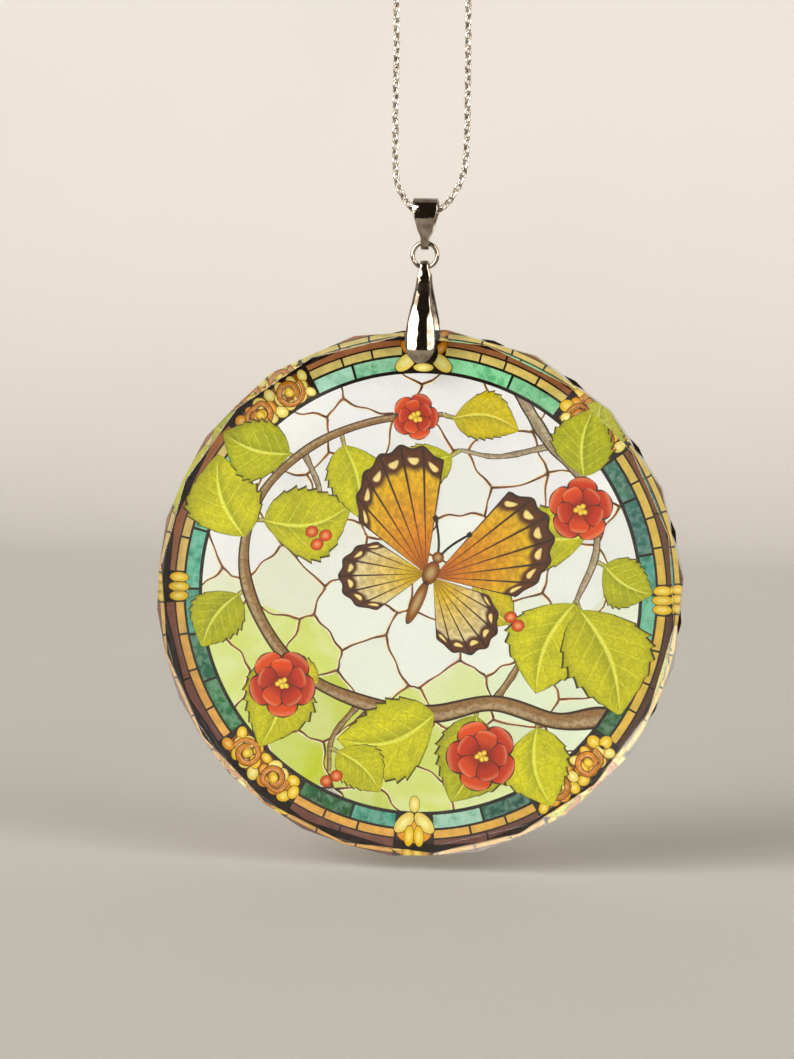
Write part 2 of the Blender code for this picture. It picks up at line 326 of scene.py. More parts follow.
# %% Chain links
LINK_WIRE_R = 0.17 * MM
LINK_LENGTH = 1.75 * MM
LINK_LEAN = math.radians(45)
AIM_STEP = 0.1 * MM


def chain_links(path, around=12, section=5):
    """Wire radius added to an ellipse that lies along the path and leans one way and then the other."""
    length = run_length(path)[-1]
    count = round(length / (LINK_LENGTH - 4 * LINK_WIRE_R))
    middle = (np.arange(count) + 0.5) * length / count
    centre = points_at(path, middle)[:, None, None]
    along = unit(points_at(path, middle + AIM_STEP) - points_at(path, middle - AIM_STEP))[:, None, None]
    forward = np.array([0.0, 1.0, 0.0])
    lean = (LINK_LEAN * (1 - 2 * (np.arange(count) % 2)))[:, None, None, None]
    across = np.cross(along, forward) * np.cos(lean) + forward * np.sin(lean)
    up = np.cross(along, across)
    t = np.linspace(0, 2 * np.pi, around, endpoint=False)[None, :, None, None]
    s = np.linspace(0, 2 * np.pi, section, endpoint=False)[None, None, :, None]
    long_r, short_r = LINK_LENGTH / 2 - LINK_WIRE_R, CHAIN_WIDTH / 2 - LINK_WIRE_R
    out_along, out_across = np.cos(t) / long_r, np.sin(t) / short_r
    outward = (along * out_along + across * out_across) / np.hypot(out_along, out_across)
    points = centre + along * long_r * np.cos(t) + across * short_r * np.sin(t)
    points = points + LINK_WIRE_R * (outward * np.cos(s) + up * np.sin(s))
    one = grid_faces(around, section, wrap_rows=True, wrap_columns=True)
    faces = one[None] + (np.arange(count) * around * section)[:, None, None]
    return points.reshape(-1, 3), faces.reshape(-1, 4)


link_points, link_faces = chain_links(route)
link_faces = facing_out(link_points, link_faces).tolist()
chain = add_piece("chain_links", link_points, link_faces, chain_metal, "hanger", "chain", "chain_metal")

# %% [markdown]
# ## The band
# A strip folded into a closed loop, wide over the chain and narrow at the ring. From the side its middle
# line is a belt round two circles, whose sides bulge a little. A flat bar's section is carried along it.

# %% The band
BAND_METAL = 0.4 * MM
band_low, band_high = node_box("bail_band")
BAND_TOP_R = 1.35 * MM
BAND_LOW_R = 0.82 * MM
BAND_EDGE_R = 0.16 * MM
BAND_BULGE = 0.30 * MM
BAND_DROPS = np.array([0.0, 1.6, 4.7, 5.5, 7.4]) * MM
BAND_HALF_WIDTHS = np.array([1.72, 1.86, 0.96, 0.56, 0.56]) * MM
ARC_STEPS = 60
SIDE_STEPS = 40
CORNER_STEPS = 5


def belt_line(top_z, low_z, steps):
    """The middle line of a belt round two circles, one above the other, as even (y, z) points.

    Between the circles each side bulges by a sine of the share of the height.
    """
    lean = math.acos((BAND_TOP_R - BAND_LOW_R) / (top_z - low_z))
    over = np.linspace(-lean, lean, ARC_STEPS)
    under = np.linspace(lean, 2 * np.pi - lean, ARC_STEPS)
    share = np.linspace(0, 1, SIDE_STEPS)[1:-1]
    radius = BAND_TOP_R * (1 - share) + BAND_LOW_R * share
    side_y = radius * np.sin(lean) + BAND_BULGE * np.sin(np.pi * share)
    side_z = top_z * (1 - share) + low_z * share + radius * np.cos(lean)
    top = np.stack([BAND_TOP_R * np.sin(over), top_z + BAND_TOP_R * np.cos(over)])
    low = np.stack([BAND_LOW_R * np.sin(under), low_z + BAND_LOW_R * np.cos(under)])
    y, z = np.hstack([top, [side_y, side_z], low, [-side_y[::-1], side_z[::-1]]])
    loop = np.stack([np.append(y, y[0]), np.append(z, z[0])], axis=1)
    return points_at(loop, np.linspace(0, run_length(loop)[-1], steps, endpoint=False))


def folded_band(steps=180):
    """At each step of the belt, a bar's section: four quarter circles moved out by the half width."""
    inset = BAND_METAL / 2
    line = belt_line(band_high[2] - inset - BAND_TOP_R, band_low[2] + inset + BAND_LOW_R, steps)
    along = unit(np.roll(line, -1, axis=0) - np.roll(line, 1, axis=0))
    half_width = np.interp(band_high[2] - line[:, 1], BAND_DROPS, BAND_HALF_WIDTHS)
    ease = np.hanning(9) / np.hanning(9).sum()
    half_width = np.convolve(np.concatenate([half_width[-4:], half_width, half_width[:4]]), ease, "valid")
    quarter = np.linspace(0, np.pi / 2, CORNER_STEPS)
    turn = np.concatenate([quarter + k * np.pi / 2 for k in range(4)])
    side, face = np.repeat([[1, -1, -1, 1], [1, 1, -1, -1]], CORNER_STEPS, axis=1)
    depth = face * (BAND_METAL / 2 - BAND_EDGE_R) + BAND_EDGE_R * np.sin(turn)
    x = BAND_EDGE_R * np.cos(turn) + side * (half_width[:, None] - BAND_EDGE_R)
    y = line[:, :1] - along[:, 1:] * depth
    z = line[:, 1:] + along[:, :1] * depth
    return np.stack([x, y, z], axis=-1)


add_closed_grid("folded_band", folded_band(), bright_plating, "hanger", "bail_band", "bright_plating")

# %% [markdown]
# ## The jump ring
# Round wire bent into a ring: a torus is one circle carried round another. The wire narrows for a
# fraction of a millimetre at the seam, where its two ends meet.

# %% The jump ring
ring_low, ring_high = node_box("jump_ring")
RING_WIRE_R = (ring_high[1] - ring_low[1]) / 2
RING_MEAN_R = (ring_high[2] - ring_low[2]) / 2 - RING_WIRE_R
RING_CENTRE = (ring_low + ring_high) / 2
SEAM_ANGLE = math.radians(205)
SEAM_HALF_ANGLE = math.radians(2.2)
SEAM_DEPTH = 0.16


def wire_ring(around=144, section=20):
    """Centre plus mean radius along a turning direction, plus wire radius round that direction."""
    t = np.linspace(0, 2 * np.pi, around, endpoint=False) + SEAM_ANGLE
    from_seam = np.abs((t - SEAM_ANGLE + np.pi) % (2 * np.pi) - np.pi)
    wire_r = RING_WIRE_R * (1 - SEAM_DEPTH * np.clip(1 - from_seam / SEAM_HALF_ANGLE, 0, 1))[:, None]
    s = np.linspace(0, 2 * np.pi, section, endpoint=False)
    reach = RING_MEAN_R + wire_r * np.cos(s)
    parts = [reach * np.cos(t)[:, None], wire_r * np.sin(s), reach * np.sin(t)[:, None]]
    return RING_CENTRE + np.stack(parts, axis=-1)


add_closed_grid("wire_ring", wire_ring(), bright_plating, "hanger", "jump_ring", "bright_plating")

# %% [markdown]
# ## The pinch clip
# One strip, folded over the jump ring, with a long drop at each end. Each leaf is crowned, higher along
# its middle, so that it reflects dark ahead and bright at both sides. Two pins grip the disc.

# %% The pinch clip
PIN_Z = -58.5 * MM
CLIP_DROP = 12.0 * MM
CLIP_METAL = 0.4 * MM
CLIP_FOLD_R = 0.82 * MM
LEAF_STAND = 4.15 * MM
LEAF_HALF_WIDTH, NECK_HALF_WIDTH, FOLD_HALF_WIDTH = 2.2 * MM, 1.0 * MM, 0.62 * MM
BELLY_HEIGHT = 1.3 * MM
NECK_HEIGHT = 11.0 * MM
END_LENGTH = 2.8 * MM
LEAF_CROWN = 0.55 * MM
PIN_R = 0.6 * MM
PIN_REACH = 1.5 * MM
LEAF_SIDE_VIEW = [  # how far the leaf stands from the middle in mm, and the share of the drop
    (3.80, -0.125), (4.17, -0.05), (4.25, 0.02), (4.22, 0.10), (4.13, 0.22),
    (3.80, 0.42), (2.70, 0.64), (1.20, 0.85), (0.85, 0.94), (0.82, 1.0),
]  # fmt: skip


def leaf_half_width(height):
    """Half the strip's width at a height over the pins: an oval end, then a smooth taper to the neck."""
    rise = np.clip((height - BELLY_HEIGHT) / (NECK_HEIGHT - BELLY_HEIGHT), 0, 1)
    taper = LEAF_HALF_WIDTH + (NECK_HALF_WIDTH - LEAF_HALF_WIDTH) * rise**2 * (3 - 2 * rise)
    end = np.clip((BELLY_HEIGHT - height) / END_LENGTH, 0, 1)
    fold = np.clip((height - NECK_HEIGHT) / (CLIP_DROP - NECK_HEIGHT), 0, 1)
    neck = NECK_HALF_WIDTH + (FOLD_HALF_WIDTH - NECK_HALF_WIDTH) * fold
    oval_end = LEAF_HALF_WIDTH * np.sqrt(1 - end**2)
    return np.where(height < BELLY_HEIGHT, oval_end, np.where(fold > 0, neck, taper))


def clip_line():
    """Rows of (spread, height over the pins), from the front leaf's tip over the fold to the back one."""
    shape = smooth_curve(np.array(LEAF_SIDE_VIEW) * [MM, CLIP_DROP])
    end = BELLY_HEIGHT - END_LENGTH * np.sin(np.linspace(np.radians(87), 0, 22, endpoint=False))
    heights = np.concatenate([end, np.linspace(BELLY_HEIGHT, CLIP_DROP, 70)])
    front = np.stack([np.interp(heights, shape[:, 1], shape[:, 0]), heights], axis=1)
    turn = np.radians(np.arange(6, 180, 6))
    over = np.stack([CLIP_FOLD_R * np.cos(turn), CLIP_DROP + CLIP_FOLD_R * np.sin(turn)], axis=1)
    return np.vstack([front, over, (front * [-1, 1])[::-1]])


def crowned_strip(across=24):
    """Strip points at the middle line, set in by crown times u squared, half the metal to each side."""
    line = clip_line()
    along = unit(np.gradient(line, axis=0))
    half_width = leaf_half_width(np.minimum(line[:, 1], CLIP_DROP))
    crown = LEAF_CROWN * (half_width / LEAF_HALF_WIDTH) ** 2
    u = np.sin(np.linspace(-np.pi / 2, np.pi / 2, across + 1))
    half_metal = np.sqrt(np.clip(1 - u**8, 0, 1)) * CLIP_METAL / 2
    upper, lower = (side * half_metal - u**2 * crown[:, None] for side in (1, -1))
    offset = np.concatenate([upper, lower[:, -2:0:-1]], axis=1)
    u = np.concatenate([u, u[-2:0:-1]])
    x = half_width[:, None] * u
    spread = line[:, :1] + along[:, 1:] * offset
    height = line[:, 1:] - along[:, :1] * offset
    return np.stack([x, -spread, PIN_Z + height], axis=-1)


# %% [markdown]
# The pins go from the leaves into the disc's hole. Each is a turned profile with a domed end. The strip
# and the pins are all tubes of rings, so one helper closes their ends and joins them into one mesh.

# %% Pins, and the clip as one mesh
def pin(side, around=24):
    """A turned profile about the Y axis: a straight pin with a domed end, from the leaf into the glass."""
    along = np.array([0.0, 0.3, 0.6, 0.88, 0.94, 0.98, 1.0])[:, None]
    radius = PIN_R * np.array([1.0, 1.0, 1.0, 1.0, 0.9, 0.62, 0.2])[:, None]
    turn = np.linspace(0, 2 * np.pi, around, endpoint=False)
    y = side * (LEAF_STAND + (DISC_BACK - PIN_REACH - LEAF_STAND) * along + 0 * turn)
    return np.stack([radius * np.cos(turn), y, PIN_Z - side * radius * np.sin(turn)], axis=-1)


def join_tubes(tubes):
    """Tubes given as rings of points, each end closed by a fan to its middle, as one mesh that faces out."""
    all_points, all_faces, base = [], [], 0
    for rings in tubes:
        rows, columns = rings.shape[:2]
        points = np.vstack([rings.reshape(-1, 3), rings[0].mean(0), rings[-1].mean(0)])
        here = np.arange(columns)
        after, top, middle = (here + 1) % columns, (rows - 1) * columns, np.full(columns, rows * columns)
        low = np.stack([middle, after, here, here], axis=1)
        high = np.stack([middle + 1, top + here, top + after, top + after], axis=1)
        faces = np.vstack([grid_faces(rows, columns, wrap_columns=True), low, high])
        faces = (facing_out(points, faces) + base).tolist()
        all_points.append(points)
        all_faces += [list(dict.fromkeys(face)) for face in faces]
        base += len(points)
    return np.vstack(all_points), all_faces


clip_parts = join_tubes([crowned_strip(), pin(-1), pin(1)])
add_piece("polished_clip", *clip_parts, bright_plating, "hanger", "pinch_clip", "bright_plating")

# %% [markdown]
# ## The glass
# Polished edges are tiny rounds that catch the light as thin lines. So a copy of the frame's disc has its
# loose triangles merged and gets a Bevel modifier. Clear glass is plain values on the shader: full
# transmission, the bending power of glass, no roughness. A very shallow bump gives a faint waviness.

# %% Clear glass
EDGE_ROUND = 0.10 * MM
FLAT_ANGLE = math.radians(1)
EDGE_ANGLE = math.radians(14)
GLASS_TINT = colour(250, 253, 251)


def cut_glass():
    """The frame's disc with its triangles merged into flat facets, and a small round along each edge."""
    shape = bmesh.new()
    shape.from_mesh(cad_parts["glass_disc"].data)
    bmesh.ops.remove_doubles(shape, verts=shape.verts, dist=0.001 * MM)
    bmesh.ops.dissolve_limit(shape, angle_limit=FLAT_ANGLE, verts=shape.verts, edges=shape.edges)
    mesh = bpy.data.meshes.new("cut_glass")
    shape.to_mesh(mesh)
    shape.free()
    mesh.polygons.foreach_set("use_smooth", np.full(len(mesh.polygons), False))
    plain = {"Roughness": 0.0, "IOR": 1.5, "Transmission_Weight": 1.0, "Base_Color": GLASS_TINT}
    polished_glass, g = new_material("polished_glass", **plain)
    g.on_shader(Normal=g.bump(g.noise(260, 2), 0.006 * MM))
    made = place_mesh("cut_glass", mesh, polished_glass, "disc", "glass_disc", "clear_glass")
    polish = made.modifiers.new("polished edges", "BEVEL")
    polish.width = EDGE_ROUND
    polish.segments = 2
    polish.limit_method = "ANGLE"
    polish.angle_limit = EDGE_ANGLE


cut_glass()

# %% [markdown]
# ## How the picture is built
# The picture is ink on the disc's flat back. Each shape is a plate a few hundredths of a millimetre thick.
# All share one middle plane, and a later layer is a little thicker, so it covers the earlier ones from
# both sides. A plate is a flat patch with a front, a back and walls along the edges that one face uses.
# Each point carries a tint and its place within its own shape.

# %% Plates of ink
INK_PLANE = DISC_BACK + 0.06 * MM
INK_STEP = 0.0015 * MM
THINNEST_PLATE = 3  # in steps
PANE_LAYER, LEAD_LAYER, TWIG_LAYER, STALK_LAYER, BRANCH_LAYER = 0, 1, 1.4, 1.55, 1.7
GROUND_LAYER, RING_LAYER, BEAD_LAYER, SCROLL_LAYER, EYELET_LAYER = 2, 4, 8, 11, 12
LEAF_LAYER, PETAL_LAYER, WING_LAYER, BODY_LAYER = 13, 23.5, 26, 30
WHITE = (1, 1, 1)


class Plates:
    """Collects flat patches and makes them one closed mesh."""

    def __init__(self):
        self.points, self.half, self.place, self.tint, self.faces, self.count = [], [], [], [], [], 0

    def add(self, x, z, faces, layer, tint, u=0.0, v=0.0):
        """x and z are from the disc's centre in millimetres, u and v the place, the tint one or many."""
        x, z, u, v = (np.ravel(part) for part in np.broadcast_arrays(x, z, u, v))
        self.points.append(np.stack([x, z], axis=1))
        self.half.append(np.full(len(x), (layer + THINNEST_PLATE) * INK_STEP))
        self.place.append(np.stack([u, v, 0 * u], axis=1))
        self.tint.append(np.column_stack([np.broadcast_to(tint, (len(x), 3)), np.ones(len(x))]))
        self.faces.append(np.asarray(faces) + self.count)
        self.count += len(x)

    def make(self, name, material):
        flat = np.vstack(self.points) * MM
        half = np.concatenate(self.half)
        x, z = DISC_CENTRE[0] + flat[:, 0], DISC_CENTRE[2] + flat[:, 1]
        front = np.stack([x, INK_PLANE - half, z], axis=1)
        back = np.stack([x, INK_PLANE + half, z], axis=1)
        faces = []
        for patch in self.faces:
            a, b, c = (flat[patch[:, k]] for k in range(3))
            area = (b[:, 0] - a[:, 0]) * (c[:, 1] - a[:, 1]) - (b[:, 1] - a[:, 1]) * (c[:, 0] - a[:, 0])
            patch = patch[:, ::-1] if area.sum() < 0 else patch
            edges = np.stack([patch, np.roll(patch, -1, axis=1)], axis=-1).reshape(-1, 2)
            key = np.sort(edges, axis=1) @ np.array([self.count, 1])
            _, first, uses = np.unique(key, return_index=True, return_counts=True)
            i, j = edges[first[uses == 1]].T
            walls = np.stack([j, i, i + self.count, j + self.count], axis=1)
            faces += patch.tolist() + (patch[:, ::-1] + self.count).tolist() + walls.tolist()
        mesh = add_piece(name, [front, back], faces, material, "disc", smooth=False).data
        for key, kind, field, parts in (
            ("tint", "FLOAT_COLOR", "color", self.tint),
            ("place", "FLOAT_VECTOR", "vector", self.place),
        ):
            mesh.attributes.new(key, kind, "POINT").data.foreach_set(field, np.vstack(parts * 2).ravel())


def square_grid(rows, columns, low=-1.0, high=1.0):
    """Two parameters, the first from 0 to 1 over the rows, the second from low to high over the columns."""
    u = np.repeat(np.linspace(0, 1, rows)[:, None], columns, axis=1)
    v = np.repeat(np.linspace(low, high, columns)[None, :], rows, axis=0)
    return u, v, grid_faces(rows, columns)


def ring_sector(plates, inner, outer, start, end, layer, tint, steps_per_degree=0.5, rise=0.0):
    """Part of a ring: radius from inner to outer, angle from start to end in degrees. Outer may vary."""
    u, v, faces = square_grid(3, max(3, int((end - start) * steps_per_degree) + 2), 0.0, 1.0)
    angle = np.radians(start + (end - start) * v)
    radius = inner + ((outer(angle) if callable(outer) else outer) - inner) * u
    plates.add(radius * np.cos(angle), rise + radius * np.sin(angle), faces, layer, tint, u, v)


def oval(plates, centre, half_long, half_short, turn, layer, tint, steps=9):
    """A filled ellipse from a square grid: x is u times the root of 1 less half v squared, and so is y."""
    u, v, faces = square_grid(steps, steps)
    u = 2 * u - 1
    along = u * np.sqrt(1 - v**2 / 2)
    across = v * np.sqrt(1 - u**2 / 2)
    x, z = half_long * along, half_short * across
    c, s = math.cos(turn), math.sin(turn)
    plates.add(centre[0] + c * x - s * z, centre[1] + s * x + c * z, faces, layer, tint, along, across)


def ribbon(plates, line, half_width, layer, tint, columns=5):
    """A strip along a line of points: each point plus its half width along the line's normal."""
    along = unit(np.gradient(line, axis=0))
    _, v, faces = square_grid(len(line), columns)
    reach = np.broadcast_to(half_width, len(line))[:, None] * v
    x = line[:, :1] - along[:, 1:] * reach
    z = line[:, 1:] + along[:, :1] * reach
    plates.add(x, z, faces, layer, tint, run_length(line)[:, None], v)


# %% [markdown]
# ## Inks
# Each ink reads the tint and the place that its plates carry, so one material serves many shapes: a dark
# outline where the place nears the edge, veins in a leaf, bands on a wing. The glass adds a pale
# reflection over the picture, so every ink is a little stronger than it looks in the end.

# %% Ink materials
OUTLINE = colour(58, 36, 26)
INK_STRENGTH = 1.16


def make_ink(name, paint, grain_depth=0.10):
    """A painting from tint and place, times darker and paler specks, then made stronger."""
    made, g = new_material(name, Roughness=0.55, Specular_IOR_Level=0.05)
    tint = g.node("Attribute", output="Color", attribute_name="tint")
    place = g.node("Attribute", output="Vector", attribute_name="place")
    u = g.node("SeparateXYZ", {0: place})
    painted = paint(g, tint, u, u.node.outputs[1])
    grain = g.fade(g.noise(3600, 2), 0.3, 0.7, 1 - grain_depth, 1 + grain_depth * 0.4)
    inputs = {"Saturation": INK_STRENGTH, "Color": g.brighten(painted, grain)}
    painted = g.node("HueSaturation", inputs)
    g.on_shader(Base_Color=painted, Normal=g.bump(g.noise(3000, 2), 0.004 * MM))
    return made


# %% [markdown]
# Coloured glass is never even, so clouds mottle it, and the pale panes carry only a trace of them. Beads
# and strips are paler in the middle and dark along their edges, so that flat plates look rounded.

# %% Inks for glass, beads and lines
def glass_paint(g, tint, u, v):
    """Mottled coloured glass: two sizes of cloud lighten and darken the tint."""
    broad = g.fade(g.noise(330, 3, distortion=1.2), 0.30, 0.60)
    small = g.fade(g.noise(1100, 4, distortion=0.6), 0.38, 0.66)
    painted = g.mix(broad, g.shade(tint, 0.42, 0.58, 0.50), tint)
    return g.mix(g.times(small, 0.55), painted, g.mix(0.28, tint, colour(226, 244, 230)))


def pane_paint(g, tint, u, v):
    """Pale see-through panes: the tint with a broad, very soft cloud."""
    cloud = g.fade(g.noise(120, 3, distortion=0.8), 0.3, 0.7, 0.0, 0.26)
    return g.mix(cloud, tint, colour(250, 249, 244))


def enamel_paint(g, tint, u, v):
    """Opaque glass for the outer rings: the tint with small soft clouds."""
    return g.brighten(tint, g.fade(g.noise(700, 3), 0.3, 0.7, 0.86, 1.08))


def bead_paint(g, tint, u, v):
    """An oval bead: pale in its middle, deeper at its side, with a dark line round it."""
    radius = g.calc("SQRT", g.plus(g.times(u, u), g.times(v, v)))
    pale = g.mix(0.34, tint, colour(255, 246, 190))
    painted = g.mix(g.fade(radius, 0.1, 0.85), pale, g.shade(tint, 0.94, 0.80, 0.58))
    return g.mix(g.fade(radius, 0.88, 0.95), painted, OUTLINE)


def strip_paint(g, tint, u, v):
    """A painted strip, such as a scroll or a branch: a pale ridge, streaks along it and dark edges."""
    ridge = g.fade(g.size(g.plus(v, -0.3)), 0.05, 0.55)
    streak = g.fade(g.noise(900, 4, distortion=2.0), 0.35, 0.65)
    painted = g.mix(ridge, g.mix(0.35, tint, colour(236, 222, 190)), tint)
    painted = g.mix(g.times(streak, 0.6), painted, g.shade(tint, 0.48, 0.42, 0.36))
    return g.mix(g.fade(g.size(v), 0.66, 0.82), painted, OUTLINE)


def uneven(g, tone, other):
    """A plain drawn line whose ink is a little uneven."""
    return g.mix(g.fade(g.noise(800, 3), 0.35, 0.65), tone, other)


def dark_paint(g, tint, u, v):
    return uneven(g, colour(24, 17, 15), colour(42, 30, 26))


def copper_paint(g, tint, u, v):
    """A drawn line between panes: uneven copper, with a pale light along one side."""
    copper = uneven(g, colour(158, 102, 68), colour(98, 62, 44))
    return g.mix(g.fade(v, 0.28, 0.40), copper, colour(250, 240, 212))


# %% [markdown]
# A leaf has veins, a petal streaks and a wing spots. Each is worked out from the place: a value that
# repeats draws lines at even steps, and fades keep them to their part of the shape.

# %% Inks for leaves, petals and wings
def leaf_paint(g, tint, u, v):
    """A leaf: a pale midrib, side veins that lean to the tip, shade beside the rib and a dark edge."""
    side = g.size(v)
    cloud = g.fade(g.noise(260, 3), 0.35, 0.72, 0.0, 0.50)
    beside_rib = g.times(g.fade(v, -0.50, -0.02), g.fade(v, -0.02, 0.02, 0.72, 0.18))
    towards_edge = g.fade(side, 0.60, 1.0, 0.0, 0.55)
    towards_root = g.fade(u, 0.0, 0.22, 0.60, 0.0)
    dark = g.shade(tint, 0.40, 0.46, 0.30)
    painted = g.mix(g.largest(beside_rib, cloud, towards_edge, towards_root), tint, dark)
    inputs = {"Vector": g.node("TexCoord", output="Object"), "Scale": 900.0}
    cells = g.node("TexVoronoi", inputs, "Distance", feature="DISTANCE_TO_EDGE")
    painted = g.mix(g.fade(cells, 0.02, 0.12, 0.30, 0.0), painted, dark)
    leaning = g.calc("SUBTRACT", g.times(u, 6.5), g.times(side, 1.7))
    vein = g.times(g.fade(g.from_half(leaning), 0.0, 0.07, 1.0, 0.0), g.fade(side, 0.55, 0.9, 0.7, 0.0))
    rib = g.fade(side, 0.02, 0.075, 1.0, 0.0)
    painted = g.mix(g.largest(vein, rib), painted, g.mix(0.62, tint, colour(240, 240, 150)))
    edge = g.largest(g.fade(side, 0.92, 0.97), g.fade(u, 0.980, 0.996))
    return g.mix(edge, painted, colour(66, 50, 22))


def petal_paint(g, tint, u, v):
    """A petal: deeper at its root, streaked along, with a pale lip and a dark line round it."""
    streak = g.fade(g.from_half(g.times(v, 3.5)), 0.0, 0.14, 0.5, 0.0)
    streak = g.times(streak, g.fade(u, 0.75, 0.3, 0.0, 1.0))
    deep = g.shade(tint, 0.46, 0.25, 0.26)
    painted = g.mix(streak, g.mix(g.fade(u, 0.05, 0.7), deep, tint), deep)
    painted = g.mix(g.fade(u, 0.70, 0.93, 0.0, 0.35), painted, colour(250, 190, 160))
    edge = g.largest(g.fade(g.size(v), 0.86, 0.93), g.fade(u, 0.945, 0.975))
    return g.mix(edge, painted, OUTLINE)


def wing_paint(g, tint, u, v):
    """A wing: dark veins that fan out, a brown margin and a row of cream spots in it."""
    cell = g.from_half(g.times(v, 6.0))
    dust = g.fade(g.noise(1500, 3), 0.35, 0.65, 0.0, 0.35)
    root = g.fade(u, 0.0, 0.35, 0.55, 0.0)
    painted = g.mix(g.largest(dust, root), tint, colour(112, 62, 34))
    painted = g.mix(g.fade(u, 0.78, 0.84), painted, colour(92, 50, 30))
    spot_u = g.times(g.plus(u, -0.89), 9.0)
    spot = g.plus(g.times(spot_u, spot_u), g.times(cell, cell))
    painted = g.mix(g.fade(spot, 0.03, 0.10, 1.0, 0.0), painted, colour(250, 226, 160))
    painted = g.mix(g.fade(cell, 0.41, 0.46), painted, OUTLINE)
    edge = g.largest(g.fade(u, 0.96, 0.985), g.fade(g.size(g.plus(v, -0.5)), 0.475, 0.49))
    return g.mix(edge, painted, OUTLINE)


inks = {
    "dark line": make_ink("dark_line_ink", dark_paint),
    "glass": make_ink("stained_glass_ink", glass_paint),
    "pane": make_ink("pale_pane_ink", pane_paint, 0.05),
    "pane line": make_ink("copper_line_ink", copper_paint),
    "enamel": make_ink("yellow_enamel_ink", enamel_paint),
    "bead": make_ink("bead_ink", bead_paint),
    "strip": make_ink("strip_ink", strip_paint),
    "leaf": make_ink("leaf_ink", leaf_paint, 0.14),
    "petal": make_ink("petal_ink", petal_paint),
    "wing": make_ink("wing_ink", wing_paint),
}
print("inks:", ", ".join(sorted(inks)))

# %% [markdown]
# ## The panes
# Leaded panes are cells, as in a Voronoi diagram: each holds the points nearest to its own seed. Seeds go
# round in the golden angle, as in a sunflower. A Delaunay net joins them into triangles, the centres of
# the circles round the triangles are the panes' corners, and each pane takes its corners in turn.

# %% Panes and their lines
FIELD_R = 31.45
PANE_SEEDS = 74
SEED_REACH = 41.0
PANE_LIMIT = 33.2
GOLDEN_ANGLE = math.pi * (3 - math.sqrt(5))
LILAC_WHITE = colour(240, 236, 239)
WARM_WHITE = colour(246, 246, 241)
MINT_WHITE = colour(228, 235, 206)
PALE_LIME = colour(214, 221, 122)
LIME = colour(198, 206, 70)
PANE_TINTS = [
    ((-6.0, 24.0), LILAC_WHITE), ((20.0, 16.0), LILAC_WHITE), ((-24.0, 8.0), LILAC_WHITE),
    ((6.0, 2.0), WARM_WHITE), ((-4.0, -6.0), WARM_WHITE), ((-20.0, -10.0), PALE_LIME),
    ((-14.0, -22.0), LIME), ((2.0, -24.0), PALE_LIME), ((20.0, -18.0), MINT_WHITE),
]  # fmt: skip
TINT_BLUR = 20.0
SEED_JITTER = 0.9
SEED_MARGIN = 5
LEAD_HALF_WIDTH = 0.22
LEAD_FLARE = 0.05
LEAD_BOW, LEAD_WAVE = 0.09, 0.05
random = np.random.default_rng(11)


def field_tint(x, z):
    """The tint at a place: the listed tints weighted by one over their distance to the fourth power."""
    spots, tones = (np.array(part) for part in zip(*PANE_TINTS))
    weight = 1 / (((spots - [x, z]) ** 2).sum(axis=1) + TINT_BLUR) ** 2
    return weight @ tones / weight.sum()


def pane_net():
    """Seeds, and the circle centre of each Delaunay triangle with its three seeds."""
    step = np.arange(PANE_SEEDS)
    radius = SEED_REACH * np.sqrt((step + 0.5) / PANE_SEEDS)
    seeds = np.stack([radius * np.cos(step * GOLDEN_ANGLE), radius * np.sin(step * GOLDEN_ANGLE)], axis=1)
    seeds += random.normal(0, SEED_JITTER, seeds.shape)
    net = delaunay_2d_cdt([Vector(seed) for seed in seeds.tolist()], [], [], 0, 1e-6)
    triangles = np.array(net[2])
    (ax, az), (bx, bz), (cx, cz) = (seeds[triangles[:, k]].T for k in range(3))
    a, b, c = ax**2 + az**2, bx**2 + bz**2, cx**2 + cz**2
    twice = 2 * (ax * (bz - cz) + bx * (cz - az) + cx * (az - bz))
    x = (a * (bz - cz) + b * (cz - az) + c * (az - bz)) / twice
    z = (a * (cx - bx) + b * (ax - cx) + c * (bx - ax)) / twice
    return seeds, triangles, np.stack([x, z], axis=1)


def drawn_in(points):
    """Points past PANE_LIMIT, moved in to it along their line to the centre."""
    return points * np.minimum(1, PANE_LIMIT / np.hypot(*points.T))[..., None]


def pane_outlines(seeds, triangles, corners):
    """For each seed near the picture, the corners of its pane in turn round it, kept inside PANE_LIMIT."""
    for index in np.flatnonzero(np.hypot(*seeds.T) < FIELD_R + SEED_MARGIN):
        around = (triangles == index).any(axis=1)
        spokes = corners[around] - seeds[index]
        yield index, drawn_in(corners[around])[np.argsort(np.arctan2(spokes[:, 1], spokes[:, 0]))]


def net_lines(triangles, corners):
    """One line for each two triangles that share a side: from one circle centre to the other."""
    sides = np.sort(triangles[:, [0, 1, 1, 2, 2, 0]].reshape(-1, 2), axis=1)
    owner = np.repeat(np.arange(len(triangles)), 3)
    group = np.unique(sides, axis=0, return_inverse=True)[1].ravel()
    order = np.argsort(group, kind="stable")
    same = np.diff(group[order]) == 0
    return corners[owner[order[:-1][same]]], corners[owner[order[1:][same]]]


# %% [markdown]
# Each pane is one face with many corners, in the tint of its place. Each line is a strip over the seam
# between two panes. Like hand-set lead it bows a little, and it is wider where lines meet.

# %% Draw the panes and their lines
seeds, triangles, corners = pane_net()
panes = Plates()
for index, outline in pane_outlines(seeds, triangles, corners):
    tint = np.clip(field_tint(*seeds[index]) * random.uniform(0.95, 1.04), 0, 0.95)
    panes.add(*outline.T, np.arange(len(outline))[None], PANE_LAYER, tint)
panes.make("printed_panes", inks["pane"])

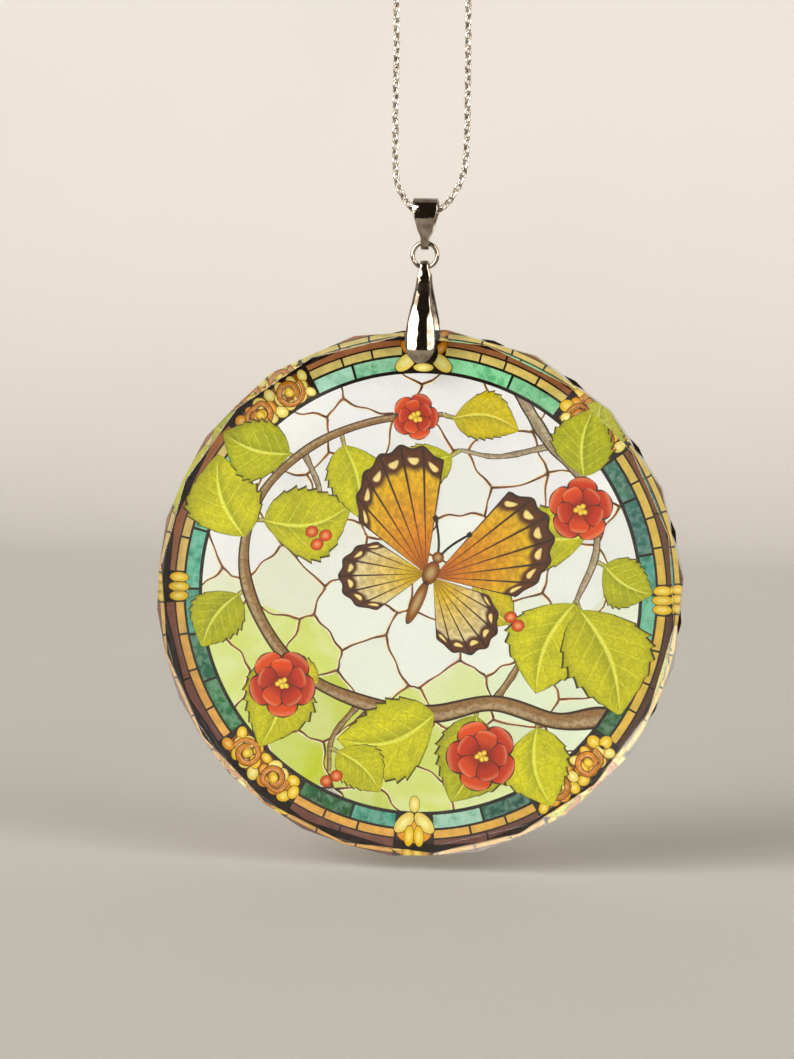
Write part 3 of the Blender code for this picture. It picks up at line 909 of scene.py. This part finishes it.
lead = Plates()
starts, ends = net_lines(triangles, corners)
inside = (np.hypot(*starts.T) < FIELD_R) | (np.hypot(*ends.T) < FIELD_R)
t = np.linspace(0, 1, 12)[:, None]
for start, end in zip(drawn_in(starts[inside]), drawn_in(ends[inside])):
    span = end - start
    bow, wave = random.uniform(-LEAD_BOW, LEAD_BOW), random.uniform(-LEAD_WAVE, LEAD_WAVE)
    sway = np.sin(np.pi * t) * (bow + wave * np.sin(3 * np.pi * t))
    line = start + span * t + np.array([-span[1], span[0]]) * sway
    half_width = LEAD_HALF_WIDTH + LEAD_FLARE * np.cos(2 * np.pi * t[:, 0])
    ribbon(lead, line, half_width, LEAD_LAYER, WHITE, columns=3)
lead.make("printed_pane_lines", inks["pane line"])

# %% [markdown]
# ## The border
# The border is traditional ornament: green, cream and brown rings, cut into short pieces, with yellow
# bosses at the four quarters and clusters of beads and scrolls between them. Each ring's tints follow the
# compass, and every piece differs a little from its neighbour.

# %% The border's sizes and tints
GREEN_RING = (31.85, 33.75)
CREAM_RING = (34.10, 35.20)
BROWN_RING = (35.45, 36.60)
INNER_GROUND = (31.35, 33.2)
MIDDLE_GROUND = (33.1, 35.6)
OUTER_GROUND_R = 35.5
CLUSTER_RING = (32.0, 35.9)
CLUSTER_GAP = 0.6
CUT_JITTER = 0.12
FACE_SIDES = 18
FACE_PHASE = 5
MARGIN_APOTHEM = 36.15
PRINT_APOTHEM = 36.95
HOLE_HEIGHT = 34.35
EYELET = (1.0, 2.05)
SLOT_HALF_ANGLE = 1.9
# Spans and clusters each run from one angle to another, and tints stand at their angles, in degrees.
CLUSTERS = [(36.6, 53.4), (118.6, 139.4), (218.6, 239.4), (300.6, 323.4)]
GREEN_SPANS = [(-36, 36), (54, 85), (95, 118), (140, 218), (240, 265.5), (274.5, 300)]
OUTER_SPANS = [(3.5, 36), (54, 85), (95, 118), (140, 176.5)]
OUTER_SPANS += [(183.5, 218), (240, 265.5), (274.5, 300), (324, 356.5)]
NIGHT_GREEN = colour(42, 88, 90)
BOTTLE_GREEN = colour(32, 92, 48)
GRASS_GREEN = colour(68, 138, 92)
TEAL = colour(92, 162, 148)
MINT = colour(146, 208, 162)
PALE_MINT = colour(170, 206, 186)
GREEN_TINTS = {0: TEAL, 25: NIGHT_GREEN, 60: MINT, 90: MINT, 112: PALE_MINT, 150: MINT, 178: TEAL}
GREEN_TINTS |= {206: BOTTLE_GREEN, 218: GRASS_GREEN, 248: BOTTLE_GREEN, 263: TEAL, 280: PALE_MINT}
GREEN_TINTS |= {292: NIGHT_GREEN, 300: GRASS_GREEN, 330: BOTTLE_GREEN, 346: MINT}
LEMON_CREAM = colour(230, 208, 142)
GOLD_CREAM = colour(230, 194, 112)
AMBER_CREAM = colour(229, 178, 114)
UMBER = colour(87, 57, 47)
PLUM_BROWN = colour(127, 88, 81)
RUST = colour(184, 126, 95)
CREAM_TINTS = {0: GOLD_CREAM, 90: LEMON_CREAM, 150: LEMON_CREAM, 200: AMBER_CREAM}
CREAM_TINTS |= {270: AMBER_CREAM, 330: GOLD_CREAM}
BROWN_TINTS = {0: UMBER, 90: RUST, 150: RUST, 200: PLUM_BROWN, 270: PLUM_BROWN, 330: UMBER}
CLUSTER_GROUND = colour(150, 88, 50)


def tint_at(tints, angle):
    """A tint read round the compass, with a straight blend from one listed angle to the next."""
    angles = [*tints, 360]
    tones = np.array([*tints.values(), tints[0]])
    return np.array([np.interp(angle % 360, angles, tones[:, k]) for k in range(3)])


def polygon_reach(apothem, phase, most=np.inf):
    """Distance to a straight side: the apothem over the cosine of the angle to it, up to a most."""
    half = math.pi / FACE_SIDES
    turn = math.radians(phase)
    return lambda angle: np.minimum(apothem / np.cos((angle - turn) % (2 * half) - half), most)


def cut_ring(plates, inner, outer, spans, tints, piece_degrees, gap, spread):
    """Cuts each span of a ring into equal pieces with a dark gap between, each with its own tint."""
    half_gap = math.degrees(gap / inner) / 2
    for low, high in spans:
        count = max(1, round((high - low) / piece_degrees))
        cuts = np.linspace(low, high, count + 1)
        cuts[1:-1] += random.uniform(-CUT_JITTER, CUT_JITTER, count - 1) * (high - low) / count
        for start, end in zip(cuts, cuts[1:]):
            tint = tint_at(tints, (start + end) / 2) * random.uniform(1 - spread, 1 + spread)
            piece = (start + half_gap, end - half_gap)
            ring_sector(plates, inner, outer, *piece, RING_LAYER, np.clip(tint, 0, 1))


# %% [markdown]
# A dark ground goes down first and shows between the pieces as their lines. The brown ring ends at
# eighteen straight sides, like the disc's face, and the ground at the rim's, half a side further round.

# %% The border's ground and rings
ground = Plates()
print_edge = polygon_reach(PRINT_APOTHEM, FACE_PHASE + 180 / FACE_SIDES)
slot = (90 + SLOT_HALF_ANGLE, 450 - SLOT_HALF_ANGLE)
ring_sector(ground, *INNER_GROUND, 0, 360, GROUND_LAYER, WHITE)
ring_sector(ground, *MIDDLE_GROUND, *slot, GROUND_LAYER + 1, WHITE)
ring_sector(ground, OUTER_GROUND_R, print_edge, 0, 360, GROUND_LAYER, WHITE, steps_per_degree=1)
ground.make("printed_border_ground", inks["dark line"])

greens, creams = Plates(), Plates()
cut_ring(greens, *GREEN_RING, GREEN_SPANS, GREEN_TINTS, piece_degrees=12.5, gap=0.36, spread=0.20)
greens.make("printed_green_ring", inks["glass"])
cut_ring(creams, *CREAM_RING, OUTER_SPANS, CREAM_TINTS, piece_degrees=8.6, gap=0.30, spread=0.05)
brown_ring = (BROWN_RING[0], polygon_reach(MARGIN_APOTHEM, FACE_PHASE, BROWN_RING[1]))
cut_ring(creams, *brown_ring, OUTER_SPANS, BROWN_TINTS, piece_degrees=17.0, gap=0.28, spread=0.08)
for low, high in CLUSTERS:
    ring_sector(creams, *CLUSTER_RING, low + CLUSTER_GAP, high - CLUSTER_GAP, RING_LAYER, CLUSTER_GROUND)
creams.make("printed_enamel_rings", inks["enamel"])

# %% [markdown]
# ## Bosses, beads and scrolls
# The bosses are stacks of lozenge petals at the sides and a little lily above and below. The clusters are
# oval beads in three staggered rows on an amber ground, with two orange scrolls over them.

# %% Bosses and clusters
BEAD_YELLOW = colour(248, 216, 108)
BEAD_PALE = colour(250, 238, 166)
BEAD_AMBER = colour(240, 178, 96)
SCROLL_ORANGE = colour(230, 150, 84)
BEAD_ROWS = (32.6, 34.05, 35.35)
BEAD_PITCH = 1.8
BOSS_R = 34.75
BOSS_STEP = 1.34 / 34.8
SCROLL_PLACES = ((0.27, 200), (0.70, 20))
SCROLL_BOUNDS = (32.1, 35.45)
SCROLL_MIDDLE_R = 34.1
SCROLL_START, SCROLL_GROWTH = 0.9, 1.2


def heading(degrees):
    """The direction at an angle: its cosine and its sine."""
    return np.array([math.cos(math.radians(degrees)), math.sin(math.radians(degrees))])


def ring_bead(plates, radius, degrees, half_long, half_short, turn, layer, tint, steps=9):
    """An oval on the border, at a radius and an angle, turned by some degrees."""
    oval(plates, radius * heading(degrees), half_long, half_short, math.radians(turn), layer, tint, steps)


def stacked_boss(beads, degrees):
    """Three lozenge petals that lie along the radius over the outer rings, the middle one longer."""
    for step, half_long in zip((-1, 0, 1), (1.45, 1.6, 1.45)):
        at = degrees + math.degrees(step * BOSS_STEP)
        tint = BEAD_YELLOW * random.uniform(0.92, 1.04)
        ring_bead(beads, BOSS_R, at, half_long, 0.76, at, BEAD_LAYER + 1, tint)


def lily(beads, at):
    """A lily on an amber base: two side petals, two drops below them and a bead at its inner tip."""
    ring_bead(beads, 34.3, at, 2.75, 1.75, at + 90, BEAD_LAYER, BEAD_AMBER, steps=13)
    for side in (-1, 1):
        tint = BEAD_PALE * random.uniform(0.95, 1.03)
        ring_bead(beads, 33.0, at + side * 2.5, 2.0, 1.05, at + side * 43, BEAD_LAYER + 1, tint)
        tint = BEAD_YELLOW * 0.97
        ring_bead(beads, 34.9, at + side * 1.15, 1.6, 0.76, at + side * 4, BEAD_LAYER + 2, tint)
    ring_bead(beads, 30.3, at, 1.25, 0.78, at, BEAD_LAYER + 2, BEAD_PALE)


def bead_cluster(beads, scrolls, low, high):
    """Staggered rows of uneven beads on an amber ground, then scrolls over them."""
    for row, radius in enumerate(BEAD_ROWS):
        count = round(math.radians(high - low) * radius / BEAD_PITCH)
        for degrees in low + (np.arange(count) + 0.35 + 0.5 * (row % 2)) * (high - low) / count:
            centre = (radius + random.normal(0, 0.08)) * heading(degrees)
            turn = math.radians(degrees) + random.choice([0.0, 0.7, 1.57, 2.3])
            tint = (BEAD_PALE, BEAD_YELLOW, BEAD_AMBER)[random.choice(3, p=[0.45, 0.30, 0.25])]
            half_long = random.uniform(0.86, 1.12)
            half_short = half_long * random.uniform(0.72, 0.9)
            oval(beads, centre, half_long, half_short, turn, BEAD_LAYER + 0.5 * (row % 2), tint)
    for share, turn in SCROLL_PLACES:
        degrees = low + share * (high - low)
        scroll(scrolls, beads, SCROLL_MIDDLE_R * heading(degrees), degrees + turn)


def scroll(scrolls, beads, centre, start_degrees):
    """A spiral round a bead: its radius grows evenly over a turn and a quarter."""
    turn = np.linspace(0, 1, 48)
    angle = math.radians(start_degrees) + turn * 2.5 * math.pi
    radius = SCROLL_START + SCROLL_GROWTH * turn[:, None]
    line = centre + radius * np.stack([np.cos(angle), np.sin(angle)], axis=1)
    reach = np.hypot(*line.T)
    line *= (np.clip(reach, *SCROLL_BOUNDS) / reach)[:, None]
    tint = SCROLL_ORANGE * random.uniform(0.92, 1.06)
    ribbon(scrolls, line, 0.52 - 0.22 * turn**2, SCROLL_LAYER, tint)
    oval(beads, centre, 0.72, 0.62, angle[0], SCROLL_LAYER + 0.5, BEAD_YELLOW, steps=8)


beads, scrolls = Plates(), Plates()
stacked_boss(beads, 0)
stacked_boss(beads, 180)
lily(beads, 270)
for low, high in CLUSTERS:
    bead_cluster(beads, scrolls, low, high)
for side in (-1, 1):
    ring_bead(beads, 33.0, 90 + side * 4.4, 1.9, 1.05, 90 - side * 50, BEAD_LAYER + 1, BEAD_PALE)
    ring_bead(beads, 35.0, 90 + side * 4.0, 1.35, 0.68, 90 + side * 40, BEAD_LAYER, SCROLL_ORANGE)
ring_bead(beads, 32.2, 90, 1.55, 0.62, 0, BEAD_LAYER + 5, BEAD_PALE)
beads.make("printed_beads", inks["bead"])
scrolls.make("printed_scrolls", inks["strip"])

eyelet = Plates()
ring_sector(eyelet, *EYELET, 0, 360, EYELET_LAYER, WHITE, steps_per_degree=0.176, rise=HOLE_HEIGHT)
eyelet.make("printed_eyelet", inks["dark line"])

# %% [markdown]
# ## The plants
# A flowering vine runs from the lower right round the left side and over the top, and a branch comes down
# at the right. Each is a strip that tapers along a smooth curve, with a few knots.

# %% Branches
BARK = colour(162, 126, 88)
BARK_GREY = colour(176, 156, 132)
VINE = [(30.2, -17.4), (26.5, -16.9), (20.0, -17.6), (11.0, -15.4), (2.0, -17.2), (-8.0, -15.8)]
VINE += [(-17.0, -11.6), (-23.0, -4.0), (-25.4, 4.5), (-23.0, 13.5), (-16.0, 20.5), (-7.0, 24.4)]
VINE += [(3.0, 25.6)]
RIGHT_BRANCH = [(11.6, 33.0), (14.5, 27.6), (18.5, 21.5), (23.8, 15.5), (25.2, 7.0), (22.5, -0.5)]
WOOD = [  # points, half width at the start and at the end, tint, layer
    ([(-17.0, 19.9), (-14.5, 14.0), (-14.8, 8.0)], 0.5, 0.3, BARK_GREY, TWIG_LAYER),
    ([(18.5, 21.5), (11.0, 19.8), (5.5, 20.6)], 0.5, 0.28, BARK_GREY, TWIG_LAYER),
    ([(11.0, -15.4), (14.5, -9.5), (14.0, -5.0)], 0.6, 0.3, BARK, TWIG_LAYER),
    ([(-8.0, -15.8), (-12.0, -21.0), (-12.5, -26.0)], 0.5, 0.3, BARK, TWIG_LAYER),
    (VINE, 1.55, 0.42, BARK, BRANCH_LAYER),
    (RIGHT_BRANCH, 1.05, 0.42, BARK_GREY, BRANCH_LAYER),
]
branches = Plates()
wood = []
for points, thick, thin, tint, layer in WOOD:
    line = smooth_curve(points, 14)
    share = np.linspace(0, 1, len(line))
    knots = 1 + 0.10 * np.sin(share * 23) + 0.05 * np.sin(share * 61 + 1)
    ribbon(branches, line, (thick + (thin - thick) * share) * knots, layer, tint, columns=7)
    wood.append(line)
wood = np.vstack(wood)
print("branches and twigs:", len(branches.faces))

# %% [markdown]
# A leaf's width rises and falls as a sine drawn towards its base, with small teeth. Each leaf is a little
# thicker than the last, so that they overlap as drawn leaves do. The table gives each leaf's foot, its
# direction in degrees, its length, half its width, its bend and its tint.

# %% Leaves
LEAF_GREEN = colour(224, 213, 34)
LEAF_DEEP = colour(200, 194, 38)
LEAF_GOLD = colour(232, 206, 74)
STALK_GREEN = colour(190, 176, 104)
STALK = 1.5
STALK_OVERLAP = 0.8
STALK_BEND = 0.6
STALK_HALF_WIDTH, STALK_TAPER = 0.38, 0.08
TEETH = 8.5
TOOTH_DEPTH = 0.14
VEIN_SWEEP = 0.18
LEAVES = [
    (-25.2, 0.4, 236, 9.4, 3.9, -0.10, LEAF_DEEP),
    (-24.9, 6.0, 109, 12.4, 5.3, 0.12, LEAF_GREEN),
    (-24.0, 9.5, 12, 13.0, 5.2, -0.14, LEAF_GREEN),
    (-17.5, 19.0, 164, 10.2, 4.4, 0.10, LEAF_DEEP),
    (-11.5, 22.4, 282, 10.5, 4.2, 0.10, LEAF_GREEN),
    (3.0, 25.4, 350, 9.5, 3.4, 0.14, LEAF_GOLD),
    (5.5, 20.6, 214, 8.0, 3.1, -0.12, LEAF_GREEN),
    (23.0, 15.8, 83, 9.8, 4.3, 0.10, LEAF_DEEP),
    (25.2, 8.5, 168, 11.5, 4.6, 0.14, LEAF_GREEN),
    (25.0, 5.5, 330, 8.0, 3.6, -0.10, LEAF_DEEP),
    (22.8, 0.6, 248, 14.0, 5.8, -0.10, LEAF_GREEN),
    (22.5, -0.3, 292, 16.0, 6.2, 0.10, LEAF_GREEN),
    (14.0, -5.2, 128, 8.0, 3.2, 0.10, LEAF_GOLD),
    (9.0, -15.8, 255, 13.0, 5.4, 0.12, LEAF_DEEP),
    (4.0, -16.9, 196, 14.5, 5.6, 0.16, LEAF_GREEN),
    (17.0, -17.2, 282, 11.5, 4.8, -0.12, LEAF_GREEN),
    (-12.4, -22.0, 318, 8.5, 3.4, 0.10, LEAF_GREEN),
    (-13.0, -14.0, 150, 7.0, 3.0, 0.14, LEAF_GOLD),
    (-20.5, -8.0, 262, 13.5, 5.0, 0.14, LEAF_GREEN),
]
margin = polygon_reach(MARGIN_APOTHEM, FACE_PHASE)


def leaf(plates, base, forward, length, half_width, bend, layer, tint):
    """Spine: straight along, bent by a sine. Half width: a sine of the share to 0.72, times its teeth.

    Points past the margin are drawn in to it, so that the leaf ends in the margin's line.
    """
    t, v, faces = square_grid(86, 15)
    tooth = ((t * TEETH) % 1.0) ** 1.6
    width = half_width * np.sin(np.pi * t**0.72) ** 0.9 * (1 + TOOTH_DEPTH * tooth * np.sin(np.pi * t))
    width = np.maximum(width, 0.03)
    along = length * t + VEIN_SWEEP * np.abs(v) * width
    across = length * bend * np.sin(np.pi * t) + width * v
    x = base[0] + along * forward[0] - across * forward[1]
    z = base[1] + along * forward[1] + across * forward[0]
    keep = np.minimum(1, margin(np.arctan2(z, x)) / np.maximum(np.hypot(x, z), 0.01))
    plates.add(x * keep, z * keep, faces, layer, tint, t, v)


def stalk(plates, base, forward):
    """A parabola from the nearest wood to a little way under the leaf, aimed along the leaf at its end."""
    root = wood[np.argmin(np.hypot(*(wood - base).T))]
    tip = base + STALK_OVERLAP * forward
    bend = base - STALK_BEND * np.hypot(*(base - root)) * forward
    t = np.linspace(0, 1, 16)[:, None]
    line = root * (1 - t) ** 2 + bend * 2 * t * (1 - t) + tip * t**2
    ribbon(plates, line, STALK_HALF_WIDTH - STALK_TAPER * t[:, 0], STALK_LAYER, STALK_GREEN)


leaves, stalks = Plates(), Plates()
for order, (base_x, base_z, degrees, length, half_width, bend, tint) in enumerate(LEAVES):
    forward = heading(degrees)
    base = np.array([base_x, base_z]) + STALK * forward
    tint = tint * random.uniform(0.92, 1.05)
    leaf(leaves, base, forward, length, half_width, bend, LEAF_LAYER + 0.5 * order, tint)
    stalk(stalks, base, forward)
branches.make("printed_branches", inks["strip"])
leaves.make("printed_leaves", inks["leaf"])
stalks.make("printed_stalks", inks["strip"])

# %% [markdown]
# ## Blossoms and berries
# Five petals lie behind and five shorter ones in front, each a curve with a width, blunt at its end.
# Beads make the middle and the berries.

# %% Blossoms
CORAL = colour(224, 98, 74)
CORAL_DEEP = colour(200, 74, 60)
# Each blossom has its place, its reach and its turn in degrees.
BLOSSOMS = [(-19.5, -13.5, 5.0, 20), (22.8, 12.6, 4.7, 50), (9.5, -23.0, 5.2, 5), (-1.0, 25.2, 3.4, 33)]
BERRIES = [(-14.8, 6.6), (-13.6, 7.9), (-15.6, 8.4), (14.3, -4.2), (13.2, -3.0)]
BERRIES += [(-12.8, -27.4), (-11.4, -26.6)]


def blossom(petals, beads, x, z, reach, turn):
    """Five petals a fifth of a turn apart, each half width a sine to a low power, then a bead middle."""
    t, v, faces = square_grid(20, 11)
    for length, first, low_layer in (
        (reach, turn + 36, PETAL_LAYER),
        (0.74 * reach, turn, PETAL_LAYER + 3),
    ):
        width = 0.60 * length * np.sin(np.pi * (0.06 + 0.86 * t)) ** 0.55 * (0.45 + 0.55 * t)
        along = length * (0.10 + 0.90 * t * (1 - 0.10 * v**2))
        for step in range(5):
            c, s = heading(first + 72 * step)
            tint = (CORAL if step % 2 else CORAL_DEEP) * random.uniform(0.94, 1.08)
            px, pz = x + along * c - width * v * s, z + along * s + width * v * c
            petals.add(px, pz, faces, low_layer + 0.5 * step, tint, t, v)
    for step in range(6):
        angle = step * GOLDEN_ANGLE
        spot = np.array([x, z]) + 0.32 * math.sqrt(step) * heading(math.degrees(angle))
        oval(beads, spot, 0.42, 0.38, angle, PETAL_LAYER + 6 + 0.1 * step, BEAD_YELLOW, steps=6)


petals, small_beads = Plates(), Plates()
for x, z, reach, turn in BLOSSOMS:
    blossom(petals, small_beads, x, z, reach, turn)
for spot in BERRIES:
    tint = CORAL * random.uniform(0.9, 1.1)
    oval(small_beads, spot, 0.95, 0.85, 0.4, PETAL_LAYER + 0.5, tint, steps=8)
petals.make("printed_petals", inks["petal"])
small_beads.make("printed_flower_beads", inks["bead"])

# %% [markdown]
# ## The butterfly
# A wing is a fan: its outline is a distance from the root that changes with the angle. All four are one
# function with other sizes, and the place of each point in the fan drives veins and spots.

# %% Butterfly
BUTTERFLY_PLACE = (1.0, 1.5)
BUTTERFLY_TURN = math.radians(-24)
WING_ORANGE = colour(232, 128, 44)
WING_YELLOW = colour(240, 200, 78)
WING_CREAM = colour(238, 222, 180)
BODY_BROWN = colour(150, 92, 52)
WINGS = [  # first and last angle, reach, slant, bluntness, root tint, tip tint, layer
    (-62, 8, 12.5, -0.05, 0.55, WING_YELLOW, WING_CREAM, WING_LAYER),
    (12, 74, 18.0, 0.30, 0.35, WING_ORANGE, WING_YELLOW, WING_LAYER + 1),
]
BODY_PARTS = [(-6.5, 0.4, 0.85), (-0.2, 3.4, 1.15), (3.2, 4.9, 0.85)]  # low end, high end, half width


def on_butterfly(x, z):
    """A place on the butterfly, turned and moved to where it sits in the picture."""
    c, s = math.cos(BUTTERFLY_TURN), math.sin(BUTTERFLY_TURN)
    return BUTTERFLY_PLACE[0] + c * x - s * z, BUTTERFLY_PLACE[1] + s * x + c * z


def wing(plates, side, start, end, reach, slant, round_power, root_tint, tip_tint, layer):
    """Distance from the root: reach times a blunt sine of the angle's share, with small scallops."""
    u, v, faces = square_grid(40, 61, 0.0, 1.0)
    angle = np.radians(start + (end - start) * v)
    outline = reach * np.sin(np.pi * (0.16 + 0.68 * v)) ** round_power * (1 + slant * (v - 0.5))
    distance = outline * (1 + 0.018 * np.cos(12 * np.pi * v)) * (0.04 + 0.96 * u)
    x = side * (0.55 + distance * np.cos(angle))
    z = 1.2 + distance * np.sin(angle)
    share = np.clip(u.ravel() * 1.3 - 0.15, 0, 1)[:, None]
    tint = root_tint * (1 - share) + tip_tint * share
    plates.add(*on_butterfly(x, z), faces, layer + 0.4 * (side > 0), tint, u, v)


wings, body, feelers = Plates(), Plates(), Plates()
t = np.linspace(0, 1, 24)
for side in (-1, 1):
    for shape in WINGS:
        wing(wings, side, *shape)
    feeler = on_butterfly(side * (0.3 + 2.6 * t**1.4), 4.6 + 4.6 * t)
    half_width = 0.17 + 0.2 * (t > 0.9)
    ribbon(feelers, np.stack(feeler, axis=1), half_width, BODY_LAYER + 0.2 * side, WHITE, columns=3)
for low, high, fat in BODY_PARTS:
    centre = on_butterfly(0.0, (low + high) / 2)
    oval(body, centre, (high - low) / 2, fat, BUTTERFLY_TURN + math.pi / 2, BODY_LAYER, BODY_BROWN)
wings.make("printed_wings", inks["wing"])
feelers.make("printed_feelers", inks["dark line"])
body.make("printed_butterfly_body", inks["bead"])

# %% [markdown]
# ## Floor, backdrop and light
# A plain pale sheet runs under the disc and up behind it in one sweep, so no corner shows.

# %% Floor and backdrop
FLOOR_Z = -132.6 * MM
FLOOR_FRONT_Y = -3.2
FLOOR_BACK_Y = 0.62
SWEEP_R = 0.30
BACKDROP_TOP = 1.6
STAGE_HALF_WIDTH = 4.0


def stage_sweep():
    """A profile carried sideways: floor, a quarter circle, then straight up."""
    turn = np.linspace(0, np.pi / 2, 24)
    y = np.concatenate([[FLOOR_FRONT_Y], FLOOR_BACK_Y + SWEEP_R * np.sin(turn), [FLOOR_BACK_Y + SWEEP_R]])
    z = np.concatenate([[0], SWEEP_R * (1 - np.cos(turn)), [BACKDROP_TOP]]) + FLOOR_Z
    x = np.linspace(-STAGE_HALF_WIDTH, STAGE_HALF_WIDTH, 9)
    points = np.stack(np.broadcast_arrays(x, y[:, None], z[:, None]), axis=-1)
    return points, grid_faces(len(y), len(x)).tolist()


stage_paper, g = new_material("stage_paper", Roughness=0.85, Specular_IOR_Level=0.06)
g.on_shader(Base_Color=g.mix(g.noise(6, 3), colour(170, 166, 159), colour(178, 174, 167)))
floor = add_piece("floor_and_backdrop", *stage_sweep(), stage_paper)

# %% [markdown]
# Two very broad far lights light the picture evenly. Mirror-bright metal is drawn by what it reflects: two
# tall soft boxes at the camera's sides and a dim world behind it give the clip its dark middle between
# two bright sides.

# %% Lights
SUBJECT = Vector(DISC_CENTRE.tolist())
EVEN_LIGHT_ANGLE = math.radians(50)
LIGHTS = [  # name, kind, place, power, colour, and its angle or its two sizes
    ("even_light_left", "SUN", (-0.58, -0.69, 0.20), 4.4, (1.0, 0.98, 0.95), {"angle": EVEN_LIGHT_ANGLE}),
    ("even_light_right", "SUN", (0.60, -0.60, 0.12), 2.55, (1.0, 0.99, 0.97), {"angle": EVEN_LIGHT_ANGLE}),
    ("soft_box_left", "AREA", (-0.80, -0.92, 0.68), 5.0, (1.0, 0.97, 0.92), {"size": 0.42, "size_y": 1.40}),
    ("soft_box_right", "AREA", (0.95, -0.77, 0.58), 3.6, (1.0, 0.98, 0.95), {"size": 0.36, "size_y": 1.20}),
]
BEHIND_CAMERA = (-0.50, -0.05)
ROOM_GREY = np.array([0.46, 0.45, 0.43])
ROOM_DARK = np.array([0.034, 0.027, 0.021])

for name, kind, place, power, tone, sizes in LIGHTS:
    light = bpy.data.lights.new(name, kind)
    light.energy = power
    light.color = tone
    if kind == "AREA":
        light.shape = "RECTANGLE"
    for key, value in sizes.items():
        setattr(light, key, value)
    made = bpy.data.objects.new(name, light)
    made.location = place
    made.rotation_mode = "QUATERNION"
    made.rotation_quaternion = (SUBJECT - Vector(place)).to_track_quat("-Z", "Y")
    made.visible_camera = False
    bpy.context.scene.collection.objects.link(made)

world = bpy.data.worlds.new("studio")
bpy.context.scene.world = world
g = Graph(world)
direction = g.node("TexCoord", output="Generated")
forward = g.node("SeparateXYZ", {0: direction}, 1)
tone = g.mix(g.fade(forward, *BEHIND_CAMERA, 1.0, 0.0), ROOM_GREY, ROOM_DARK)
g.fill(g.tree.nodes["Background"].inputs["Color"], tone)
bpy.context.scene.view_settings.view_transform = "Standard"
print("lights:", len(LIGHTS))
